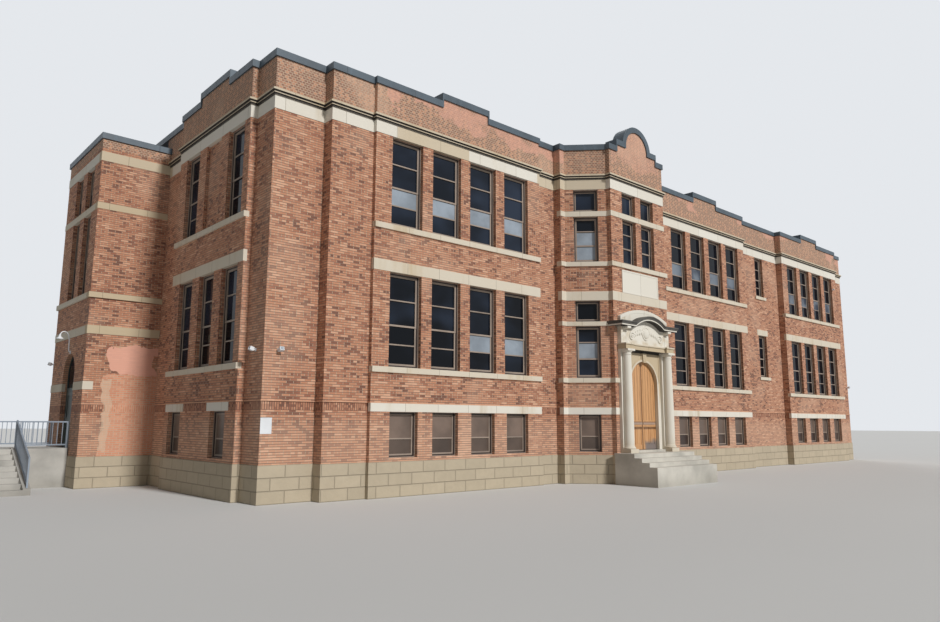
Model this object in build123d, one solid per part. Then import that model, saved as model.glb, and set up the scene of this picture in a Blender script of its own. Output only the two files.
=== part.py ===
from build123d import *
from math import atan2, degrees, hypot, sqrt
import os

# Two-storey brick school over a raised basement, modelled at half its real size, in millimetres.
# +X runs right along the front, +Y into the building, +Z up. The origin is on the ground, in the
# plane of the front window bays and under the middle of the front door.

os.makedirs("parts", exist_ok=True)

# Plan of the main block
WALL = 210.0
BAY_WIDTH = 3580.0
ENTRANCE_GAP = 4000.0
INNER_PIER_WIDTH = 722.0
INNER_PIER_SETBACK = 67.0
OUTER_PIER_WIDTH = 796.0
OUTER_PIER_SETBACK = 270.0
RECESS_WIDTH = 2120.0
RECESS_SETBACK = 162.0
END_PIER_WIDTH = 745.0
END_PIER_SETBACK = 155.0
DEPTH = 10618.0
SIDE_BAY_START = 790.0
SIDE_BAY_WIDTH = 2659.0
SIDE_BAY_PROUD = 108.0
REAR_CENTRE_SETBACK = 74.0

# Entrance bay, which stands forward of the front with canted sides
FLANK_SETBACK = 74.0
FLANK_WIDTH = 487.0
FACET_WIDTH = 117.5
FACET_PROUD = 88.5
CANT_RUN = 534.5
CANT_DEPTH = 560.5
FRONT_PROUD = 90.5

# Side tower
TOWER_REACH = 1140.0
TOWER_WIDTH = 2088.0

# Levels above the lowest ground
FOUNDATION_TOP = 500.0
FOUNDATION_PROUD = 14.0
BASEMENT_SILL = 550.0
BASEMENT_HEAD = 1208.0
BASE_BAND = 120.5
FIRST_SILL = 1855.0
FIRST_HEAD = 3268.5
FIRST_BAND = 167.0
SECOND_SILL = 3987.5
FRIEZE_BOTTOM = 5372.5
SILL_HEIGHT = 83.0
FRIEZE_HEIGHT = 183.0
CORNICE_HEIGHT = 100.0
PARAPET_TOP = 6141.5
COPING_HEIGHT = 107.0
PARAPET_RISE = 140.5
FIRST_TRANSOM = 2801.5
FIRST_TRANSOM_HEIGHT = 78.0
SECOND_TRANSOM = 4853.0
SECOND_TRANSOM_HEIGHT = 97.5

# Floors and roof
SLAB = 125.0
BASEMENT_SLAB = 75.0
FIRST_FLOOR = 1430.0
SECOND_FLOOR = 3565.0
ROOF_TOP = 5685.0
HALL_FLOOR = 575.0
HALL_SLAB = 75.0
HALL_WIDTH = 2600.0
HALL_END = 700.0

# Windows
WINDOW_WIDTH = 592.0
MULLION = 203.0
BASEMENT_WINDOW_WIDTH = 515.0
SIDE_WINDOW_WIDTH = 545.0
SIDE_MULLION = 275.0
SIDE_WINDOW_SHIFT = 60.0
SIDE_BASEMENT_SPREAD = 820.0
SIDE_BASEMENT_SHIFT = -90.0
SIDE_BASEMENT_LINTEL = 730.0
CANT_WINDOW_WIDTH = 450.0
CANT_BASEMENT_WIDTH = 400.0
PAIR_WINDOW_WIDTH = 422.0
PAIR_MULLION = 174.0
NARROW_WINDOW_WIDTH = 424.0
NARROW_SHIFT = 50.0
NARROW_FIRST_SILL = 2235.0
NARROW_FIRST_HEAD = 3312.0
NARROW_SECOND_SILL = 4333.0
NARROW_STONE_WIDTH = 560.0
NARROW_STONE_HEIGHT = 75.0
NARROW_LINTEL_HEIGHT = 145.0
REVEAL = 75.0
FRAME_WIDTH = 30.0
FRAME_DEPTH = 45.0
GLASS = 8.0
BLIND_DEPTH = 50.0

# Stone set in the brick face
STONE_BED = 50.0
STONE_PROUD = 8.0
SILL_PROUD = 30.0
BELT_PROUD = 14.0
BELT_HEIGHT = 17.0
CORNICE_STEPS = ((0.0, 14.0), (0.35, 30.0), (0.7, 50.0))
COPING_LAP = 25.0
RAISED_WIDTH = 1000.0
SIDE_RAISED_WIDTH = 1090.0
GABLE_WIDTH = 1250.0
GABLE_RADIUS = 345.0
GABLE_CENTRE = 6328.0
PLAQUE_WIDTH = 1154.0
PLAQUE_GAP = 37.0

# Front doorway and its stone portal
DOOR_RADIUS = 420.0
DOOR_SPRING = 1770.0
DOORWAY_WIDTH = 1050.0
DOORWAY_HEAD = 2380.0
PANEL_DEPTH = 60.0
PANEL_PROUD = 12.0
ARCH_RIM = 35.0
ARCH_RIM_PROUD = 8.0
SPANDREL_MARGIN = 30.0
SPANDREL_DEPTH = 8.0
KEYSTONE_WIDTH = 120.0
KEYSTONE_TAPER = 18.0
KEYSTONE_DROP = 20.0
KEYSTONE_PROUD = 34.0

# Columns of the portal
COLUMN_CENTRE = 645.0
COLUMN_DROP = 40.0
COLUMN_RADIUS = 92.0
COLUMN_TAPER = 0.86
COLUMN_STRAIGHT = 560.0
COLUMN_REACH = 105.0
PILASTER_WIDTH = 235.0
PILASTER_DEPTH = 62.0
PLINTH = 235.0
PLINTH_HEIGHT = 70.0
TORUS_PROUD = 14.0
TORUS_ROUND = 10.0
TORUS_HEIGHT = 34.0
FILLET = 8.0
FILLET_HEIGHT = 12.0
FLARE_HEIGHT = 14.0
NECK_HEIGHT = 28.0
CAPITAL_PROUD = 24.0
CAPITAL_ROUND = 28.0
ABACUS_PROUD = 30.0
ABACUS_HEIGHT = 37.0

# Hood of the portal
ARCHITRAVE_HEIGHT = 75.0
ARCHITRAVE_BACK = 45.0
TAENIA_HEIGHT = 30.0
TAENIA_PROUD = 14.0
TYMPANUM_REACH = 82.0
HOOD_BOTTOM = 2790.0
HOOD_HEIGHT = 85.0
HOOD_WIDTH = 1704.0
HOOD_REACH = 190.0
HOOD_STEPS = ((0.0, 60.0), (0.45, 25.0), (0.75, 0.0))
HOOD_ARCH_WIDTH = 900.0
HOOD_ARCH_RISE = 140.0
BLOCKING_HEIGHT = 165.0
BLOCKING_BASE = 60.0
BLOCKING_INSET = 20.0

# Front door leaves
LEAF = 30.0
LEAF_LAP = 15.0
RUN_GAP = 5.0
STILE = 45.0
STILE_MARGIN = 20.0
BOARDS = 4
GROOVE = 6.0
DOOR_RAIL = 1050.0
DOOR_RAIL_HALF = 18.0
DOOR_RAIL_PROUD = 12.0
BOARD_MARGIN = 60.0
LOWER_MARGIN = 90.0
LOWER_MULLION = 30.0
PANEL_SINK = 8.0
FIELD_INSET = 22.0
FIELD_SINK = 2.0

# Hinges
BARREL_RADIUS = 8.0
PIN_RADIUS = 3.5
BORE_GAP = 0.3
KNUCKLE = 40.0
TAB = 28.0
TAB_THICKNESS = 7.0
FRONT_HINGES = (760.0, 1200.0, 1640.0)

# Tower
TOWER_COPING_BOTTOM = 5816.0
TOWER_COPING_HEIGHT = 103.0
TOWER_FRIEZE_BOTTOM = 5429.0
TOWER_FRIEZE_HEIGHT = 163.5
TOWER_UPPER_BAND = 4592.5
TOWER_UPPER_BAND_HEIGHT = 109.0
TOWER_SILL_BAND = 3079.5
TOWER_SILL_BAND_HEIGHT = 89.0
TOWER_LOWER_BAND = 2481.0
TOWER_LOWER_BAND_HEIGHT = 139.0
IMPOST = 1569.5
IMPOST_HEIGHT = 132.0
IMPOST_RETURN = 150.0
TOWER_FLOOR = 625.0
TOWER_SLAB = 75.0
TOWER_ROOF = 5500.0
TOWER_WINDOW_WIDTH = 440.0
TOWER_MULLION = 250.0
TOWER_OPENINGS_SHIFT = 100.0
TOWER_DOORWAY_WIDTH = 730.0
TOWER_DOOR_SPRING = 1845.0
TOWER_DOOR_HEAD = 1570.0
TOWER_POST = 40.0
TOWER_TRANSOM = 50.0
TOWER_STILE = 70.0
TOWER_HINGES = (760.0, 1120.0, 1450.0)

# Landing, steps and railings at the tower door, from the tower's near corner
LANDING_START = 535.0
LANDING_LENGTH = 1150.0
STEPS_START = 410.0
STEPS_OUT = 732.0
STEPS_WIDTH = 900.0
CURB = 100.0
CURB_RISE = 15.0
RISERS = 8
TREAD = 156.0
RAIL_HEIGHT = 435.0
RAIL_BAR = 22.0
BALUSTER = 10.0
BALUSTER_PITCH = 65.0
RAIL_FOOT = 45.0

# Front steps
FRONT_RISERS = 4
FRONT_RISE = 70.0
FRONT_TREAD = 150.0
STOOP_WIDTH = 1900.0
STOOP_DEPTH = 420.0
DOOR_SILL = 80.0

# How far cutting and keeping boxes run past the shapes they work on
SPARE = 500.0


def block(x0, x1, y0, y1, z0, z1):
    """A box between two opposite corners."""
    return Pos((x0 + x1) / 2, (y0 + y1) / 2, (z0 + z1) / 2) * Box(x1 - x0, y1 - y0, z1 - z0)


def elevation(sketch, y0, y1):
    """A sketch drawn in X and Z, given thickness from y0 to y1."""
    return Pos(0, y1, 0) * extrude(Rot(90, 0, 0) * sketch, y1 - y0)


def together(shapes):
    """The solids of a list of shapes as one group, each kept apart."""
    return Compound(children=[solid for shape in shapes for solid in shape.solids()])


class Face:
    """A wall face, seen from outside: along it to the right, in through the wall, and up."""

    def __init__(self, start, end):
        self.start = start
        self.length = hypot(end[0] - start[0], end[1] - start[1])
        self.angle = degrees(atan2(end[1] - start[1], end[0] - start[0]))

    def at(self, shape):
        return Pos(self.start[0], self.start[1], 0) * Rot(0, 0, self.angle) * shape


# Plan outline, from the front left corner round to the left side
entrance_left = -ENTRANCE_GAP / 2
bay_left = entrance_left - BAY_WIDTH
pier_left = bay_left - INNER_PIER_WIDTH
corner_left = pier_left - OUTER_PIER_WIDTH
entrance_right = ENTRANCE_GAP / 2
bay_right = entrance_right + BAY_WIDTH
pavilion_left = bay_right + RECESS_WIDTH
pavilion_right = pavilion_left + BAY_WIDTH
corner_right = pavilion_right + END_PIER_WIDTH
side_bay_end = SIDE_BAY_START + SIDE_BAY_WIDTH

facet_x = entrance_left + FLANK_WIDTH
cant_x = facet_x + FACET_WIDTH
front_x = cant_x + CANT_RUN
cant_y = -FACET_PROUD - CANT_DEPTH
front_y = cant_y - FRONT_PROUD

entrance_points = [
    (facet_x, FLANK_SETBACK),
    (facet_x, -FACET_PROUD),
    (cant_x, -FACET_PROUD),
    (front_x, cant_y),
    (front_x, front_y),
    (-front_x, front_y),
    (-front_x, cant_y),
    (-cant_x, -FACET_PROUD),
    (-facet_x, -FACET_PROUD),
    (-facet_x, FLANK_SETBACK),
]


def rear(points):
    """The same points seen in the mirror of the building's depth, in the other order."""
    return [(x, DEPTH - y) for x, y in reversed(points)]


left_front_points = [
    (corner_left, side_bay_end),
    (corner_left - SIDE_BAY_PROUD, side_bay_end),
    (corner_left - SIDE_BAY_PROUD, SIDE_BAY_START),
    (corner_left, SIDE_BAY_START),
    (corner_left, OUTER_PIER_SETBACK),
    (pier_left, OUTER_PIER_SETBACK),
    (pier_left, INNER_PIER_SETBACK),
    (bay_left, INNER_PIER_SETBACK),
    (bay_left, 0),
    (entrance_left, 0),
]
right_front_points = [
    (entrance_right, 0),
    (bay_right, 0),
    (bay_right, RECESS_SETBACK),
    (pavilion_left, RECESS_SETBACK),
    (pavilion_left, 0),
    (pavilion_right, 0),
    (pavilion_right, END_PIER_SETBACK),
    (corner_right, END_PIER_SETBACK),
    (corner_right, SIDE_BAY_START),
    (corner_right + SIDE_BAY_PROUD, SIDE_BAY_START),
    (corner_right + SIDE_BAY_PROUD, side_bay_end),
    (corner_right, side_bay_end),
]
rear_centre_points = [
    (entrance_right, DEPTH - REAR_CENTRE_SETBACK),
    (entrance_left, DEPTH - REAR_CENTRE_SETBACK),
]
outline_points = (
    left_front_points
    + [(entrance_left, FLANK_SETBACK)]
    + entrance_points
    + [(entrance_right, FLANK_SETBACK)]
    + right_front_points
    + rear(right_front_points)
    + rear_centre_points
    + rear(left_front_points)
)
outline = make_face(Polyline(*outline_points, close=True))

# Tower position
tower_x = corner_left - TOWER_REACH
tower_near = DEPTH / 2 - TOWER_WIDTH / 2
tower_far = DEPTH / 2 + TOWER_WIDTH / 2
tower_root = corner_left + 2 * WALL
tower_points = [
    (tower_root, tower_near),
    (tower_root, tower_far),
    (tower_x, tower_far),
    (tower_x, tower_near),
]
tower_block = block(tower_x, corner_left + WALL, tower_near, tower_far, 0, ROOF_TOP + 1000)

# Faces that carry windows
left_bay = Face((bay_left, 0), (entrance_left, 0))
left_facet_end = (cant_x, -FACET_PROUD)
left_cant = Face(left_facet_end, (front_x, cant_y))
right_cant = Face((-front_x, cant_y), (-cant_x, -FACET_PROUD))
portal_front = Face((front_x, front_y), (-front_x, front_y))
right_bay = Face((entrance_right, 0), (bay_right, 0))
recess = Face((bay_right, RECESS_SETBACK), (pavilion_left, RECESS_SETBACK))
pavilion = Face((pavilion_left, 0), (pavilion_right, 0))
side_left_x = corner_left - SIDE_BAY_PROUD
side_right_x = corner_right + SIDE_BAY_PROUD
left_side_front = Face((side_left_x, side_bay_end), (side_left_x, SIDE_BAY_START))
left_side_rear = Face((side_left_x, DEPTH - SIDE_BAY_START), (side_left_x, DEPTH - side_bay_end))
right_side_front = Face((side_right_x, SIDE_BAY_START), (side_right_x, side_bay_end))
right_side_rear = Face((side_right_x, DEPTH - side_bay_end), (side_right_x, DEPTH - SIDE_BAY_START))
rear_pavilion = Face((pavilion_right, DEPTH), (pavilion_left, DEPTH))
rear_right_bay = Face((bay_right, DEPTH), (entrance_right, DEPTH))
rear_centre_y = DEPTH - REAR_CENTRE_SETBACK
rear_centre = Face((entrance_right, rear_centre_y), (entrance_left, rear_centre_y))
rear_left_bay = Face((entrance_left, DEPTH), (bay_left, DEPTH))
tower_side = Face((tower_x, tower_far), (tower_x, tower_near))
tower_front = Face((tower_x, tower_near), (corner_left, tower_near))

# Window openings: wall name, face, middle along the face, width, sill, head and storey
windows = []
blind_windows = []


def row(middle, width, gap, count):
    """The middles of a row of equal windows."""
    return [middle + (number - (count - 1) / 2) * (width + gap) for number in range(count)]


def add_windows(wall, face, middles, width, sill, head, storey):
    for middle in middles:
        windows.append((wall, face, middle, width, sill, head, storey))


def add_bay(wall, face):
    """Four windows a storey, over four smaller ones in the basement."""
    middles = row(face.length / 2, WINDOW_WIDTH, MULLION, 4)
    add_windows(wall, face, middles, BASEMENT_WINDOW_WIDTH, BASEMENT_SILL, BASEMENT_HEAD, "basement")
    add_windows(wall, face, middles, WINDOW_WIDTH, FIRST_SILL, FIRST_HEAD, "first")
    add_windows(wall, face, middles, WINDOW_WIDTH, SECOND_SILL, FRIEZE_BOTTOM, "second")


def add_side_bay(wall, face, shift, basement_shift, blind=False):
    """Three windows a storey and two in the basement; the middle upper one may be bricked up."""
    middle = face.length / 2
    middles = row(middle + shift, SIDE_WINDOW_WIDTH, SIDE_MULLION, 3)
    lower = [middle + basement_shift + end * SIDE_BASEMENT_SPREAD for end in (-1, 1)]
    add_windows(wall, face, lower, BASEMENT_WINDOW_WIDTH, BASEMENT_SILL, BASEMENT_HEAD, "basement")
    add_windows(wall, face, middles, SIDE_WINDOW_WIDTH, FIRST_SILL, FIRST_HEAD, "first")
    if blind:
        blind_windows.append((wall, face, middles.pop(1)))
    add_windows(wall, face, middles, SIDE_WINDOW_WIDTH, SECOND_SILL, FRIEZE_BOTTOM, "second")


def add_cant(wall, face):
    """One window a storey with a stone transom band across it."""
    middle = [face.length / 2]
    first_upper = FIRST_TRANSOM + FIRST_TRANSOM_HEIGHT
    second_upper = SECOND_TRANSOM + SECOND_TRANSOM_HEIGHT
    add_windows(wall, face, middle, CANT_BASEMENT_WIDTH, BASEMENT_SILL, BASEMENT_HEAD, "basement")
    add_windows(wall, face, middle, CANT_WINDOW_WIDTH, FIRST_SILL, FIRST_TRANSOM, "first")
    add_windows(wall, face, middle, CANT_WINDOW_WIDTH, first_upper, FIRST_HEAD, "first")
    add_windows(wall, face, middle, CANT_WINDOW_WIDTH, SECOND_SILL, SECOND_TRANSOM, "second")
    add_windows(wall, face, middle, CANT_WINDOW_WIDTH, second_upper, FRIEZE_BOTTOM, "second")


add_bay("front_wall_left", left_bay)
add_bay("front_wall_right", right_bay)
add_bay("pavilion_wall", pavilion)
add_bay("rear_pavilion_wall", rear_pavilion)
for rear_face in (rear_right_bay, rear_centre, rear_left_bay):
    add_bay("rear_wall", rear_face)
add_side_bay("left_side_front_wall", left_side_front, SIDE_WINDOW_SHIFT, SIDE_BASEMENT_SHIFT, blind=True)
add_side_bay("left_side_rear_wall", left_side_rear, -SIDE_WINDOW_SHIFT, -SIDE_BASEMENT_SHIFT)
add_side_bay("right_side_wall", right_side_front, -SIDE_WINDOW_SHIFT, -SIDE_BASEMENT_SHIFT)
add_side_bay("right_side_wall", right_side_rear, SIDE_WINDOW_SHIFT, SIDE_BASEMENT_SHIFT)
add_cant("entrance_wall_left", left_cant)
add_cant("entrance_wall_right", right_cant)

pair_middles = row(portal_front.length / 2, PAIR_WINDOW_WIDTH, PAIR_MULLION, 2)
pair_upper = SECOND_TRANSOM + SECOND_TRANSOM_HEIGHT
add_windows("entrance_upper_wall", portal_front, pair_middles, PAIR_WINDOW_WIDTH,
            SECOND_SILL, SECOND_TRANSOM, "second")
add_windows("entrance_upper_wall", portal_front, pair_middles, PAIR_WINDOW_WIDTH,
            pair_upper, FRIEZE_BOTTOM, "second")

narrow_middle = [recess.length / 2 + NARROW_SHIFT]
add_windows("recess_wall", recess, narrow_middle, NARROW_WINDOW_WIDTH,
            NARROW_FIRST_SILL, NARROW_FIRST_HEAD, "first")
add_windows("recess_wall", recess, narrow_middle, NARROW_WINDOW_WIDTH,
            NARROW_SECOND_SILL, FRIEZE_BOTTOM, "second")

tower_middle = tower_side.length / 2 + TOWER_OPENINGS_SHIFT
tower_middles = row(tower_middle, TOWER_WINDOW_WIDTH, TOWER_MULLION, 2)
tower_sill = TOWER_SILL_BAND + TOWER_SILL_BAND_HEIGHT
tower_upper_sill = TOWER_UPPER_BAND + TOWER_UPPER_BAND_HEIGHT
add_windows("tower_side_wall", tower_side, tower_middles, TOWER_WINDOW_WIDTH,
            tower_sill, TOWER_UPPER_BAND, "first")
add_windows("tower_side_wall", tower_side, tower_middles, TOWER_WINDOW_WIDTH,
            tower_upper_sill, TOWER_FRIEZE_BOTTOM, "second")


def window_hole(face, middle, width, sill, head):
    """The opening through the wall."""
    return face.at(block(middle - width / 2, middle + width / 2, -WALL, 2 * WALL, sill, head))


def window_frame(face, middle, width, sill, head):
    """The rim of a window, set back in its opening."""
    half = width / 2
    rim = block(middle - half, middle + half, REVEAL, REVEAL + FRAME_DEPTH, sill, head)
    light = block(middle - half + FRAME_WIDTH, middle + half - FRAME_WIDTH, 0, WALL,
                  sill + FRAME_WIDTH, head - FRAME_WIDTH)
    return face.at(rim - light)


def window_glass(face, middle, width, sill, head):
    """The pane that fills the rim."""
    half = width / 2 - FRAME_WIDTH
    depth = REVEAL + FRAME_DEPTH / 2
    return face.at(block(middle - half, middle + half, depth, depth + GLASS,
                         sill + FRAME_WIDTH, head - FRAME_WIDTH))


# Stone bands in the wall faces
def band(face, start, end, bottom, height, proud=STONE_PROUD):
    """A stone course set in a wall face."""
    return face.at(block(start, end, -proud, STONE_BED, bottom, bottom + height))


def ring(plan, out, back, bottom, top):
    """A course that follows a plan outline, from outside it to inside it."""
    outer = offset(plan, out, kind=Kind.INTERSECTION) if out else plan
    inner = offset(plan, -back, kind=Kind.INTERSECTION)
    return Pos(0, 0, bottom) * extrude(outer - inner, top - bottom)


entrance_plan = make_face(Polyline(*entrance_points, close=True))
entrance_clip = block(facet_x - 300, -facet_x + 300, front_y - 300, -0.5, 0, ROOF_TOP)
portal_half = COLUMN_CENTRE + PILASTER_WIDTH / 2


def entrance_band(bottom, height, proud=STONE_PROUD, stop=0):
    """A course round the entrance bay, which may stop each side of the portal."""
    course = ring(entrance_plan, proud, STONE_BED, bottom, bottom + height) & entrance_clip
    if stop:
        course -= block(-stop, stop, front_y - 300, front_y + 300, 0, ROOF_TOP)
    return course


four_bays = [left_bay, right_bay, pavilion, rear_pavilion, rear_right_bay, rear_centre, rear_left_bay]
side_bays = [left_side_front, left_side_rear, right_side_front, right_side_rear]


def make_belt():
    """The thin brick ledge over the basement, level with the top of the stone over its windows."""
    bottom = BASEMENT_HEAD + BASE_BAND
    ledge = ring(outline, BELT_PROUD, STONE_BED, bottom, bottom + BELT_HEIGHT)
    for face in four_bays:
        ledge -= face.at(block(0, face.length, -SPARE, SPARE, 0, ROOF_TOP))
    ledge -= block(entrance_left, entrance_right, front_y - SPARE, SPARE, 0, ROOF_TOP)
    return ledge - tower_block


def make_lintels():
    """Courses over the basement and first-storey windows."""
    stones = []
    for face in four_bays:
        stones.append(band(face, 0, face.length, BASEMENT_HEAD, BASE_BAND))
        stones.append(band(face, 0, face.length, FIRST_HEAD, FIRST_BAND))
    for face in side_bays:
        stones.append(band(face, 0, face.length, FIRST_HEAD, FIRST_BAND))
    for wall, face, middle, width, sill, head, storey in windows:
        if face in side_bays and storey == "basement":
            half = SIDE_BASEMENT_LINTEL / 2
            stones.append(band(face, middle - half, middle + half, BASEMENT_HEAD, BASE_BAND))
    half = NARROW_STONE_WIDTH / 2
    middle = narrow_middle[0]
    stones.append(band(recess, middle - half, middle + half, NARROW_FIRST_HEAD, NARROW_LINTEL_HEIGHT))
    stones.append(entrance_band(BASEMENT_HEAD, BASE_BAND, stop=portal_half))
    stones.append(entrance_band(FIRST_HEAD, FIRST_BAND))
    stones.append(tower_course(TOWER_LOWER_BAND, TOWER_LOWER_BAND_HEIGHT))
    return together(stones)


def make_sills():
    """Courses under the first and second-storey windows."""
    stones = []
    for face in four_bays + side_bays:
        for top in (FIRST_SILL, SECOND_SILL):
            stones.append(band(face, 0, face.length, top - SILL_HEIGHT, SILL_HEIGHT, SILL_PROUD))
    half = NARROW_STONE_WIDTH / 2
    middle = narrow_middle[0]
    for top in (NARROW_FIRST_SILL, NARROW_SECOND_SILL):
        stones.append(band(recess, middle - half, middle + half, top - NARROW_STONE_HEIGHT,
                           NARROW_STONE_HEIGHT, SILL_PROUD))
    stones.append(entrance_band(FIRST_SILL - SILL_HEIGHT, SILL_HEIGHT, SILL_PROUD, stop=portal_half))
    stones.append(entrance_band(SECOND_SILL - SILL_HEIGHT, SILL_HEIGHT, SILL_PROUD))
    stones.append(tower_course(TOWER_SILL_BAND, TOWER_SILL_BAND_HEIGHT, SILL_PROUD))
    return together(stones)


def make_transom_bands():
    """Courses that cross the entrance and tower windows, and the imposts of the tower door."""
    stones = [
        entrance_band(FIRST_TRANSOM, FIRST_TRANSOM_HEIGHT, stop=HOOD_WIDTH / 2),
        entrance_band(SECOND_TRANSOM, SECOND_TRANSOM_HEIGHT),
        tower_course(TOWER_UPPER_BAND, TOWER_UPPER_BAND_HEIGHT),
    ]
    impost = tower_course(IMPOST, IMPOST_HEIGHT)
    keep = block(tower_x - 100, tower_x + IMPOST_RETURN, tower_near - 100, tower_far + 100, 0, ROOF_TOP)
    stones.append((impost & keep) - tower_doorway)
    return together(stones)


tower_plan = make_face(Polyline(*tower_points, close=True))
tower_clip = block(tower_x - 300, corner_left, tower_near - 300, tower_far + 300, 0, ROOF_TOP + 1000)


def tower_course(bottom, height, proud=STONE_PROUD):
    """A course round the three free sides of the tower."""
    return ring(tower_plan, proud, STONE_BED, bottom, bottom + height) & tower_clip


def arched(width, bottom, spring):
    """A round-headed opening drawn in X and Z about its middle line."""
    straight = Pos(0, (bottom + spring) / 2) * Rectangle(width, spring - bottom)
    return straight + Pos(0, spring) * Circle(width / 2)


tower_doorway = tower_side.at(
    Pos(tower_middle, 0, 0)
    * elevation(arched(TOWER_DOORWAY_WIDTH, TOWER_FLOOR, TOWER_DOOR_SPRING), -WALL, 2 * WALL)
)


# Parapet shapes: where each face stands higher, and the gable over the entrance
raised = [(face, face.length / 2, RAISED_WIDTH) for face in four_bays if face is not rear_centre]
raised += [(face, face.length / 2, SIDE_RAISED_WIDTH) for face in side_bays]


def gable_sketch(lap):
    """The stepped and rounded gable, grown outwards by lap."""
    top = PARAPET_TOP + PARAPET_RISE + lap
    width = GABLE_WIDTH + 2 * COPING_LAP if lap else GABLE_WIDTH
    shoulders = Pos(0, (PARAPET_TOP + top) / 2) * Rectangle(width, top - PARAPET_TOP)
    arch = Pos(0, GABLE_CENTRE) * Circle(GABLE_RADIUS + lap)
    below = Pos(0, PARAPET_TOP - GABLE_WIDTH) * Rectangle(2 * GABLE_WIDTH, 2 * GABLE_WIDTH)
    return shoulders + arch - below


gable_brick = Pos(0, front_y, 0) * elevation(gable_sketch(0), 0, WALL)
raised_brick = [
    face.at(block(middle - width / 2, middle + width / 2, 0, WALL, PARAPET_TOP, PARAPET_TOP + PARAPET_RISE))
    for face, middle, width in raised
]


def make_coping():
    """The metal cap on the parapet, stepped up over the raised parts and round the gable."""
    cap = ring(outline, COPING_LAP, WALL + COPING_LAP, PARAPET_TOP, PARAPET_TOP + COPING_HEIGHT)
    top = PARAPET_TOP + PARAPET_RISE + COPING_HEIGHT
    for face, middle, width in raised:
        half = width / 2 + COPING_LAP
        cap += face.at(block(middle - half, middle + half, -COPING_LAP, WALL + COPING_LAP, PARAPET_TOP, top))
    cap += Pos(0, front_y, 0) * elevation(gable_sketch(COPING_HEIGHT), -COPING_LAP, WALL + COPING_LAP)
    cap -= Pos(0, front_y, 0) * elevation(gable_sketch(0), -2 * COPING_LAP, WALL + 2 * COPING_LAP)
    for face, middle, width in raised:
        cap -= face.at(block(middle - width / 2, middle + width / 2, -2 * COPING_LAP, WALL + 2 * COPING_LAP,
                             PARAPET_TOP, PARAPET_TOP + PARAPET_RISE))
    low = ring(tower_plan, COPING_LAP, WALL + COPING_LAP, TOWER_COPING_BOTTOM,
               TOWER_COPING_BOTTOM + TOWER_COPING_HEIGHT) & tower_clip
    return together([cap, low])


def make_frieze():
    """The pale stone course at the head of the upper windows, and the tower's."""
    main = ring(outline, STONE_PROUD, STONE_BED, FRIEZE_BOTTOM, FRIEZE_BOTTOM + FRIEZE_HEIGHT)
    main -= tower_block
    return together([main, tower_course(TOWER_FRIEZE_BOTTOM, TOWER_FRIEZE_HEIGHT)])


def make_cornice():
    """The moulded course over the frieze, in three steps outwards."""
    bottom = FRIEZE_BOTTOM + FRIEZE_HEIGHT
    ends = [share for share, reach in CORNICE_STEPS[1:]] + [1.0]
    moulding = None
    for (share, reach), end in zip(CORNICE_STEPS, ends):
        step = ring(outline, reach, STONE_BED, bottom + share * CORNICE_HEIGHT, bottom + end * CORNICE_HEIGHT)
        moulding = step if moulding is None else moulding + step
    return moulding - tower_block - tower_course(TOWER_FRIEZE_BOTTOM, TOWER_FRIEZE_HEIGHT)


# Walls
wall_boxes = {
    "left_corner_pier": (corner_left - 500, bay_left, -500, SIDE_BAY_START),
    "front_wall_left": (bay_left, entrance_left, -500, 1000),
    "entrance_wall_left": (entrance_left, front_x, front_y - 500, 1000),
    "entrance_front": (front_x, -front_x, front_y - 500, 1000),
    "entrance_wall_right": (-front_x, entrance_right, front_y - 500, 1000),
    "front_wall_right": (entrance_right, bay_right, -500, 1000),
    "recess_wall": (bay_right, pavilion_left, -500, 1000),
    "pavilion_wall": (pavilion_left, pavilion_right, -500, 1000),
    "right_corner_pier": (pavilion_right, corner_right + 500, -500, SIDE_BAY_START),
    "right_side_wall": (corner_right - 1000, corner_right + 500, SIDE_BAY_START, DEPTH - SIDE_BAY_START),
    "rear_right_pier": (pavilion_right, corner_right + 500, DEPTH - SIDE_BAY_START, DEPTH + 500),
    "rear_pavilion_wall": (bay_right, pavilion_right, DEPTH - SIDE_BAY_START, DEPTH + 500),
    "rear_wall": (bay_left, bay_right, DEPTH - SIDE_BAY_START, DEPTH + 500),
    "rear_left_pier": (corner_left - 500, bay_left, DEPTH - SIDE_BAY_START, DEPTH + 500),
    "left_side_front_wall": (corner_left - 500, corner_left + 1000, SIDE_BAY_START, tower_near + WALL),
    "left_side_rear_wall": (corner_left - 500, corner_left + 1000, tower_far - WALL, DEPTH - SIDE_BAY_START),
}
tower_inner_x = tower_x + WALL
tower_top = TOWER_COPING_BOTTOM
door_half = DOORWAY_WIDTH / 2
tower_door_near = tower_far - tower_middle - TOWER_DOORWAY_WIDTH / 2
tower_door_far = tower_far - tower_middle + TOWER_DOORWAY_WIDTH / 2
impost_top = IMPOST + IMPOST_HEIGHT

lintels = make_lintels()
sills = make_sills()
transoms = make_transom_bands()
frieze = make_frieze()
cornice = make_cornice()
belt = make_belt()
plaque_bottom = FIRST_HEAD + FIRST_BAND
plaque_height = SECOND_SILL - SILL_HEIGHT - PLAQUE_GAP - plaque_bottom
plaque_start = (portal_front.length - PLAQUE_WIDTH) / 2
plaque = band(portal_front, plaque_start, plaque_start + PLAQUE_WIDTH, plaque_bottom, plaque_height)


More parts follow.
